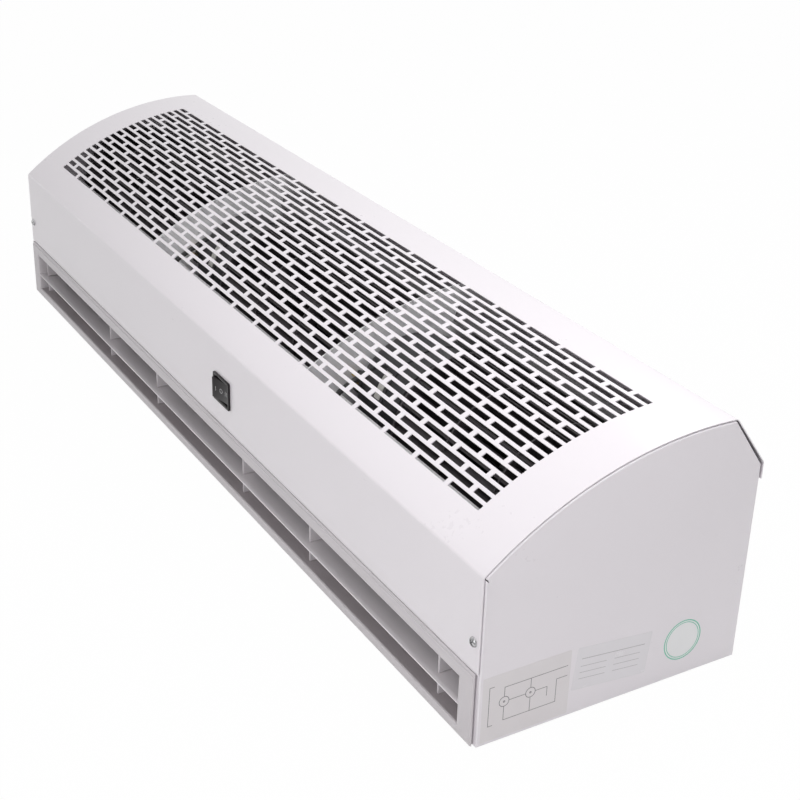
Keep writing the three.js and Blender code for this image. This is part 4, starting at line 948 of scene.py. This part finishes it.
def build_wiring():
    refined("terminal_strip", "terminal_block", "white_plastic", radius=0.8 * MM)
    for i in (1, 2):
        refined(f"capacitor_case_{i}", f"capacitor_{i}", "white_plastic", radius=1.2 * MM, segments=3)
        refined(f"switch_wire_{i}", f"switch_lead_{i}", "blue_lead", radius=0, smooth=60, levels=1)
        refined(f"motor_sleeve_{i}", f"motor_lead_{i}", "black_sleeve", radius=0, smooth=60, levels=1)
        refined(f"shelf_grommet_{i}", f"lead_grommet_{i}", "rubber", radius=0.3 * MM, smooth=50)
    refined("entry_blank", "entry_grommet", "rubber", radius=0.4 * MM, smooth=50)


def build_screw(name, source, seat, out):
    """A pan-head screw with a cross recess, its head's seat at seat and its head towards out."""
    bm = bmesh.new()
    profile = [(radius * MM, place * MM) for radius, place in SCREW_PROFILE]
    turned(bm, profile, Vector((0, 0, 0)), 32, out)
    side = out.orthogonal().normalized()
    basis = Matrix((side, out.cross(side), out)).transposed()
    for turn in (0.0, math.pi / 2):
        bar = bmesh.new()
        made = block(bar, (-1.9 * MM, -0.45 * MM, 0.7 * MM), (1.9 * MM, 0.45 * MM, 3.5 * MM))
        bmesh.ops.rotate(bar, verts=made, cent=(0, 0, 0), matrix=basis @ Matrix.Rotation(turn, 3, "Z"))
        bm = cut(bm, bar)
    bmesh.ops.translate(bm, verts=bm.verts, vec=seat)
    # The head's steel carries dark specks of painted reflection.
    place_piece(name, bm, "bright_steel", stands_for=(source,), smooth=30, finish_name="screw_painted_reflection")


def build_screws():
    front = Vector((0, -1, 0))
    for side, x in (("left", -SCREW_X), ("right", SCREW_X)):
        build_screw(f"cover_{side}_screw", f"cover_screw_{side}", Vector((x, PANEL_Y, SCREW_Z)), front)
        build_small_screws(f"base_{side}_screw", f"base_screw_{side}")
    for number in (1, 2):
        build_small_screws(f"motor_{number}_bolt", f"motor_{number}_screw")


def build_small_screws(name, source):
    """A pair of screws that keep the shape of their nodes."""
    for i in (1, 2):
        refined(f"{name}_{i}", f"{source}_{i}", "bright_steel", radius=0.2 * MM, smooth=50)


def sticker(name, corners, finish_name, turn=None):
    """A thin film on the right end plate, between two (y, z) corners."""
    low, high = corners
    bm = bmesh.new()
    block(bm, (END_X, *low), (END_X + FILM, *high))
    rounded = [e for e in bm.edges if abs(e.verts[0].co.x - e.verts[1].co.x) > FILM / 2]
    round_edges(bm, rounded, 1.2 * MM)
    if turn:
        bmesh.ops.rotate(bm, verts=bm.verts, cent=FORM_CENTRE, matrix=turn)
    place_piece(name, bm, "paint", finish_name=finish_name)


def print_line(bm, start, stop, width):
    """A printed line, level or upright, between two (y, z) points on a film."""
    half = width / 2
    rise = half if start[1] == stop[1] else 0.0
    low = (INK_LOW, min(start[0], stop[0]) - half, min(start[1], stop[1]) - rise)
    high = (INK_HIGH, max(start[0], stop[0]) + half, max(start[1], stop[1]) + rise)
    block(bm, low, high)


def print_ring(bm, centre, inner, outer):
    turned(bm, ring_profile(inner, outer, INK_LOW, INK_HIGH), Vector((0, *centre)), 40)


def build_labels():
    """Films where labels sit: a plain diagram of two motors, a form with empty lines, a ringed disc."""
    sticker("diagram_film", DIAGRAM_FILM, "label_film")
    bm = bmesh.new()
    for centre in DIAGRAM_MOTORS:
        print_ring(bm, centre, 3.6 * MM, 4.1 * MM)
        print_ring(bm, centre, 0.3 * MM, 0.9 * MM)
    for start, stop in DIAGRAM_LINES:
        print_line(bm, start, stop, 0.45 * MM)
    place_piece("diagram_lines", bm, "paint", finish_name="ink")
    turn = Matrix.Rotation(FORM_TURN, 3, "X")
    sticker("form_film", FORM_FILM, "clear_film", turn)
    bm = bmesh.new()
    print_line(bm, *FORM_HEAD, 0.5 * MM)
    for z in FORM_ROWS:
        for start, stop in FORM_COLUMNS:
            print_line(bm, (start, z), (stop, z), 0.35 * MM)
    bmesh.ops.rotate(bm, verts=bm.verts, cent=FORM_CENTRE, matrix=turn)
    place_piece("form_lines", bm, "paint", finish_name="grey_ink")
    bm = bmesh.new()
    turned(bm, ring_profile(0, ROUND_FILM_RADIUS, END_X, FILM_TOP), Vector((0, *ROUND_FILM)), 64)
    place_piece("round_film", bm, "paint", finish_name="label_paper")
    bm = bmesh.new()
    print_ring(bm, ROUND_FILM, 15.5 * MM, 16.4 * MM)
    print_ring(bm, ROUND_FILM, 14.0 * MM, 14.6 * MM)
    place_piece("round_film_rings", bm, "paint", finish_name="green_ink")


# ---------------------------------------------------------------- stage


def build_stage(look):
    """A pale floor, soft lamps and the camera."""
    bm = bmesh.new()
    bmesh.ops.create_grid(bm, x_segments=1, y_segments=1, size=FLOOR_HALF)
    floor = plain_object("floor", bm)
    floor.location.z = FLOOR_Z
    floor.data.materials.append(floor_material())
    world = bpy.data.worlds.new("Studio")
    bpy.context.scene.world = world
    world.use_nodes = True
    tree = world.node_tree
    tree.nodes.clear()
    out = node(tree, "ShaderNodeOutputWorld")
    lit = node(tree, "ShaderNodeBackground", Color=(1, 1, 1, 1), Strength=look.room_light)
    seen = node(tree, "ShaderNodeBackground", Color=(1, 1, 1, 1), Strength=1.0)
    mix = node(tree, "ShaderNodeMixShader")
    tree.links.new(seen_directly(tree), mix.inputs["Fac"])
    tree.links.new(lit.outputs["Background"], mix.inputs[1])
    tree.links.new(seen.outputs["Background"], mix.inputs[2])
    tree.links.new(mix.outputs["Shader"], out.inputs["Surface"])
    for name, place, target, size in LAMPS:
        lamp(f"{name}_lamp", place, target, size, getattr(look, f"{name}_power"))
    camera = bpy.data.cameras.new("camera")
    camera.sensor_width = 36.0
    camera.lens = CAMERA_LENS
    camera.clip_start = 0.05
    holder = bpy.data.objects.new("camera", camera)
    bpy.context.scene.collection.objects.link(holder)
    holder.location = CAMERA_PLACE
    holder.rotation_euler = [math.radians(angle) for angle in CAMERA_TURN]
    bpy.context.scene.camera = holder
    bpy.context.scene.view_settings.view_transform = "Standard"


def seen_directly(tree):
    """Whether the camera, a reflection or a refraction sees the surface."""
    path = node(tree, "ShaderNodeLightPath")
    first = node(tree, "ShaderNodeMath", operation="MAXIMUM")
    second = node(tree, "ShaderNodeMath", operation="MAXIMUM")
    tree.links.new(path.outputs["Is Camera Ray"], first.inputs[0])
    tree.links.new(path.outputs["Is Glossy Ray"], first.inputs[1])
    tree.links.new(first.outputs["Value"], second.inputs[0])
    tree.links.new(path.outputs["Is Transmission Ray"], second.inputs[1])
    return second.outputs["Value"]


def floor_material():
    """White paper: it shows as the white background, and keeps a trace of the object's shadow."""
    material = bpy.data.materials.new("White Floor")
    material.use_nodes = True
    tree = material.node_tree
    tree.nodes.clear()
    out = node(tree, "ShaderNodeOutputMaterial")
    paper = node(tree, "ShaderNodeBsdfDiffuse", Color=(0.75, 0.75, 0.75, 1))
    glow = node(tree, "ShaderNodeEmission", Color=(1, 1, 1, 1), Strength=1.0)
    share = node(tree, "ShaderNodeMath", operation="MULTIPLY")
    share.inputs[1].default_value = FLOOR_GLOW
    mix = node(tree, "ShaderNodeMixShader")
    tree.links.new(seen_directly(tree), share.inputs[0])
    tree.links.new(share.outputs["Value"], mix.inputs["Fac"])
    tree.links.new(paper.outputs["BSDF"], mix.inputs[1])
    tree.links.new(glow.outputs["Emission"], mix.inputs[2])
    tree.links.new(mix.outputs["Shader"], out.inputs["Surface"])
    return material


def lamp(name, place, target, size, power):
    light = bpy.data.lights.new(name, "AREA")
    light.shape = "RECTANGLE"
    light.size, light.size_y = size
    light.energy = power
    holder = bpy.data.objects.new(name, light)
    bpy.context.scene.collection.objects.link(holder)
    holder.location = place
    aim = Vector(target) - Vector(place)
    holder.rotation_euler = aim.to_track_quat("-Z", "Y").to_euler()


# ---------------------------------------------------------------- the add-on


class AirCurtainLook(bpy.types.PropertyGroup):
    """The sizes and colours that a user may change."""

    paint_colour: bpy.props.FloatVectorProperty(
        name="Paint", description="Colour of the cabinet's paint", subtype="COLOR", size=3,
        min=0, max=1, default=(0.805, 0.765, 0.803))
    louvre_colour: bpy.props.FloatVectorProperty(
        name="Louvre", description="Colour of the louvre's plastic", subtype="COLOR", size=3,
        min=0, max=1, default=(0.63, 0.595, 0.618))
    orange_peel: bpy.props.FloatProperty(
        name="Orange Peel", description="Height of the paint's relief", unit="LENGTH", default=0.0000008)
    crease_radius: bpy.props.FloatProperty(
        name="Crease Radius", description="Bend radius along the cover's creases", unit="LENGTH",
        default=0.0015)
    end_radius: bpy.props.FloatProperty(
        name="End Bend", description="Bend radius round an end plate", unit="LENGTH", default=0.0012)
    slot_corner: bpy.props.FloatProperty(
        name="Slot Corner", description="Corner radius of an intake slot", unit="LENGTH", default=0.00045)
    louvre_radius: bpy.props.FloatProperty(
        name="Louvre Edge", description="Edge radius on the louvre's frame", unit="LENGTH", default=0.0007)
    switch_radius: bpy.props.FloatProperty(
        name="Switch Edge", description="Edge radius on the switch's bezel", unit="LENGTH", default=0.0005)
    blade_count: bpy.props.IntProperty(
        name="Impeller Blades", description="Blades round one impeller", default=36, min=8)
    blade_thickness: bpy.props.FloatProperty(
        name="Blade Thickness", description="Thickness of an impeller blade", unit="LENGTH", default=0.0009)
    ring_spacing: bpy.props.FloatProperty(
        name="Ring Spacing", description="Length between an impeller's rings", unit="LENGTH", default=0.066)
    room_light: bpy.props.FloatProperty(
        name="Room Light", description="Strength of the light from all sides", default=0.40, min=0)
    key_power: bpy.props.FloatProperty(
        name="Key Lamp", description="Power of the lamp above the right end", unit="POWER", default=4.0)
    top_power: bpy.props.FloatProperty(
        name="Top Lamp", description="Power of the lamp behind and above", unit="POWER", default=5.4)
    strip_power: bpy.props.FloatProperty(
        name="Strip Lamp", description="Power of the strip that lights the crease", unit="POWER", default=1.0)
    front_power: bpy.props.FloatProperty(
        name="Front Lamp", description="Power of the lamp before the outlet", unit="POWER", default=7.9)
    end_power: bpy.props.FloatProperty(
        name="End Lamp", description="Power of the lamp beyond the right end", unit="POWER", default=3.9)


def look_of(context):
    return context.scene.air_curtain


class AIRCURTAIN_OT_finishes(bpy.types.Operator):
    """Makes every material and puts it on the frame's nodes."""

    bl_idname = "air_curtain.finishes"
    bl_label = "Finishes"

    def execute(self, context):
        FINISHES.update(make_finishes(look_of(context)))
        for part in frame["record"]["subparts"]:
            mesh = NODES[part["node"]].data
            mesh.materials.clear()
            mesh.materials.append(FINISHES[part["material_slot"]])
        return {"FINISHED"}


class AIRCURTAIN_OT_cover(bpy.types.Operator):
    """Builds the slotted cover."""

    bl_idname = "air_curtain.cover"
    bl_label = "Cover"

    def execute(self, context):
        build_cover(look_of(context))
        return {"FINISHED"}


class AIRCURTAIN_OT_cabinet(bpy.types.Operator):
    """Builds both end plates and the wall plate."""

    bl_idname = "air_curtain.cabinet"
    bl_label = "End Plates and Wall Plate"

    def execute(self, context):
        look = look_of(context)
        build_end_plate("left_end_pan", "end_plate_left", -1, look)
        build_end_plate("right_end_pan", "end_plate_right", 1, look)
        refined("wall_plate_sheet", "wall_plate", "paint", radius=0.4 * MM, segments=3)
        return {"FINISHED"}


class AIRCURTAIN_OT_outlet(bpy.types.Operator):
    """Builds the louvre's frame, its blade and its fins."""

    bl_idname = "air_curtain.outlet"
    bl_label = "Outlet Louvre"

    def execute(self, context):
        build_louvre(look_of(context))
        return {"FINISHED"}


class AIRCURTAIN_OT_ducts(bpy.types.Operator):
    """Builds the scroll, the front guide and the partitions."""

    bl_idname = "air_curtain.ducts"
    bl_label = "Ducts and Partitions"

    def execute(self, context):
        build_ducts()
        return {"FINISHED"}


class AIRCURTAIN_OT_impellers(bpy.types.Operator):
    """Builds the three impellers with their hubs, pins and bearings."""

    bl_idname = "air_curtain.impellers"
    bl_label = "Impellers and Shafts"

    def execute(self, context):
        look = look_of(context)
        for number, body, drive_left in IMPELLERS:
            build_impeller(number, body, drive_left, look)
        build_shafts()
        return {"FINISHED"}


class AIRCURTAIN_OT_motors(bpy.types.Operator):
    """Builds both motors."""

    bl_idname = "air_curtain.motors"
    bl_label = "Motors"

    def execute(self, context):
        for number, x0, x1, double in MOTORS:
            build_motor(number, x0, x1, double)
        return {"FINISHED"}


class AIRCURTAIN_OT_switch(bpy.types.Operator):
    """Builds the rocker switch."""

    bl_idname = "air_curtain.switch"
    bl_label = "Rocker Switch"

    def execute(self, context):
        build_switch(look_of(context))
        return {"FINISHED"}


class AIRCURTAIN_OT_wiring(bpy.types.Operator):
    """Builds the terminal strip, the capacitors, the leads and the grommets."""

    bl_idname = "air_curtain.wiring"
    bl_label = "Wiring"

    def execute(self, context):
        build_wiring()
        return {"FINISHED"}


class AIRCURTAIN_OT_screws(bpy.types.Operator):
    """Builds every screw."""

    bl_idname = "air_curtain.screws"
    bl_label = "Screws"

    def execute(self, context):
        build_screws()
        return {"FINISHED"}


class AIRCURTAIN_OT_labels(bpy.types.Operator):
    """Puts the bare films on the right end plate."""

    bl_idname = "air_curtain.labels"
    bl_label = "Label Films"

    def execute(self, context):
        build_labels()
        return {"FINISHED"}


class AIRCURTAIN_OT_stage(bpy.types.Operator):
    """Sets the floor, the lamps and the camera."""

    bl_idname = "air_curtain.stage"
    bl_label = "Stage"

    def execute(self, context):
        build_stage(look_of(context))
        return {"FINISHED"}


STEPS = (
    AIRCURTAIN_OT_finishes,
    AIRCURTAIN_OT_cover,
    AIRCURTAIN_OT_cabinet,
    AIRCURTAIN_OT_outlet,
    AIRCURTAIN_OT_ducts,
    AIRCURTAIN_OT_impellers,
    AIRCURTAIN_OT_motors,
    AIRCURTAIN_OT_switch,
    AIRCURTAIN_OT_wiring,
    AIRCURTAIN_OT_screws,
    AIRCURTAIN_OT_labels,
    AIRCURTAIN_OT_stage,
)


class AIRCURTAIN_PT_panel(bpy.types.Panel):
    """The steps and the settings, in the 3D view's sidebar."""

    bl_idname = "AIRCURTAIN_PT_panel"
    bl_label = "Air Curtain"
    bl_space_type = "VIEW_3D"
    bl_region_type = "UI"
    bl_category = "Air Curtain"

    def draw(self, context):
        for name in AirCurtainLook.__annotations__:
            self.layout.prop(look_of(context), name)
        for step in STEPS:
            self.layout.operator(step.bl_idname)


CLASSES = (AirCurtainLook, *STEPS, AIRCURTAIN_PT_panel)


def register():
    for entry in CLASSES:
        bpy.utils.register_class(entry)
    bpy.types.Scene.air_curtain = bpy.props.PointerProperty(type=AirCurtainLook)


def unregister():
    del bpy.types.Scene.air_curtain
    for entry in reversed(CLASSES):
        bpy.utils.unregister_class(entry)


def main():
    register()
    for step in STEPS:
        group, name = step.bl_idname.split(".")
        getattr(getattr(bpy.ops, group), name)()


if __name__ == "__main__":
    main()
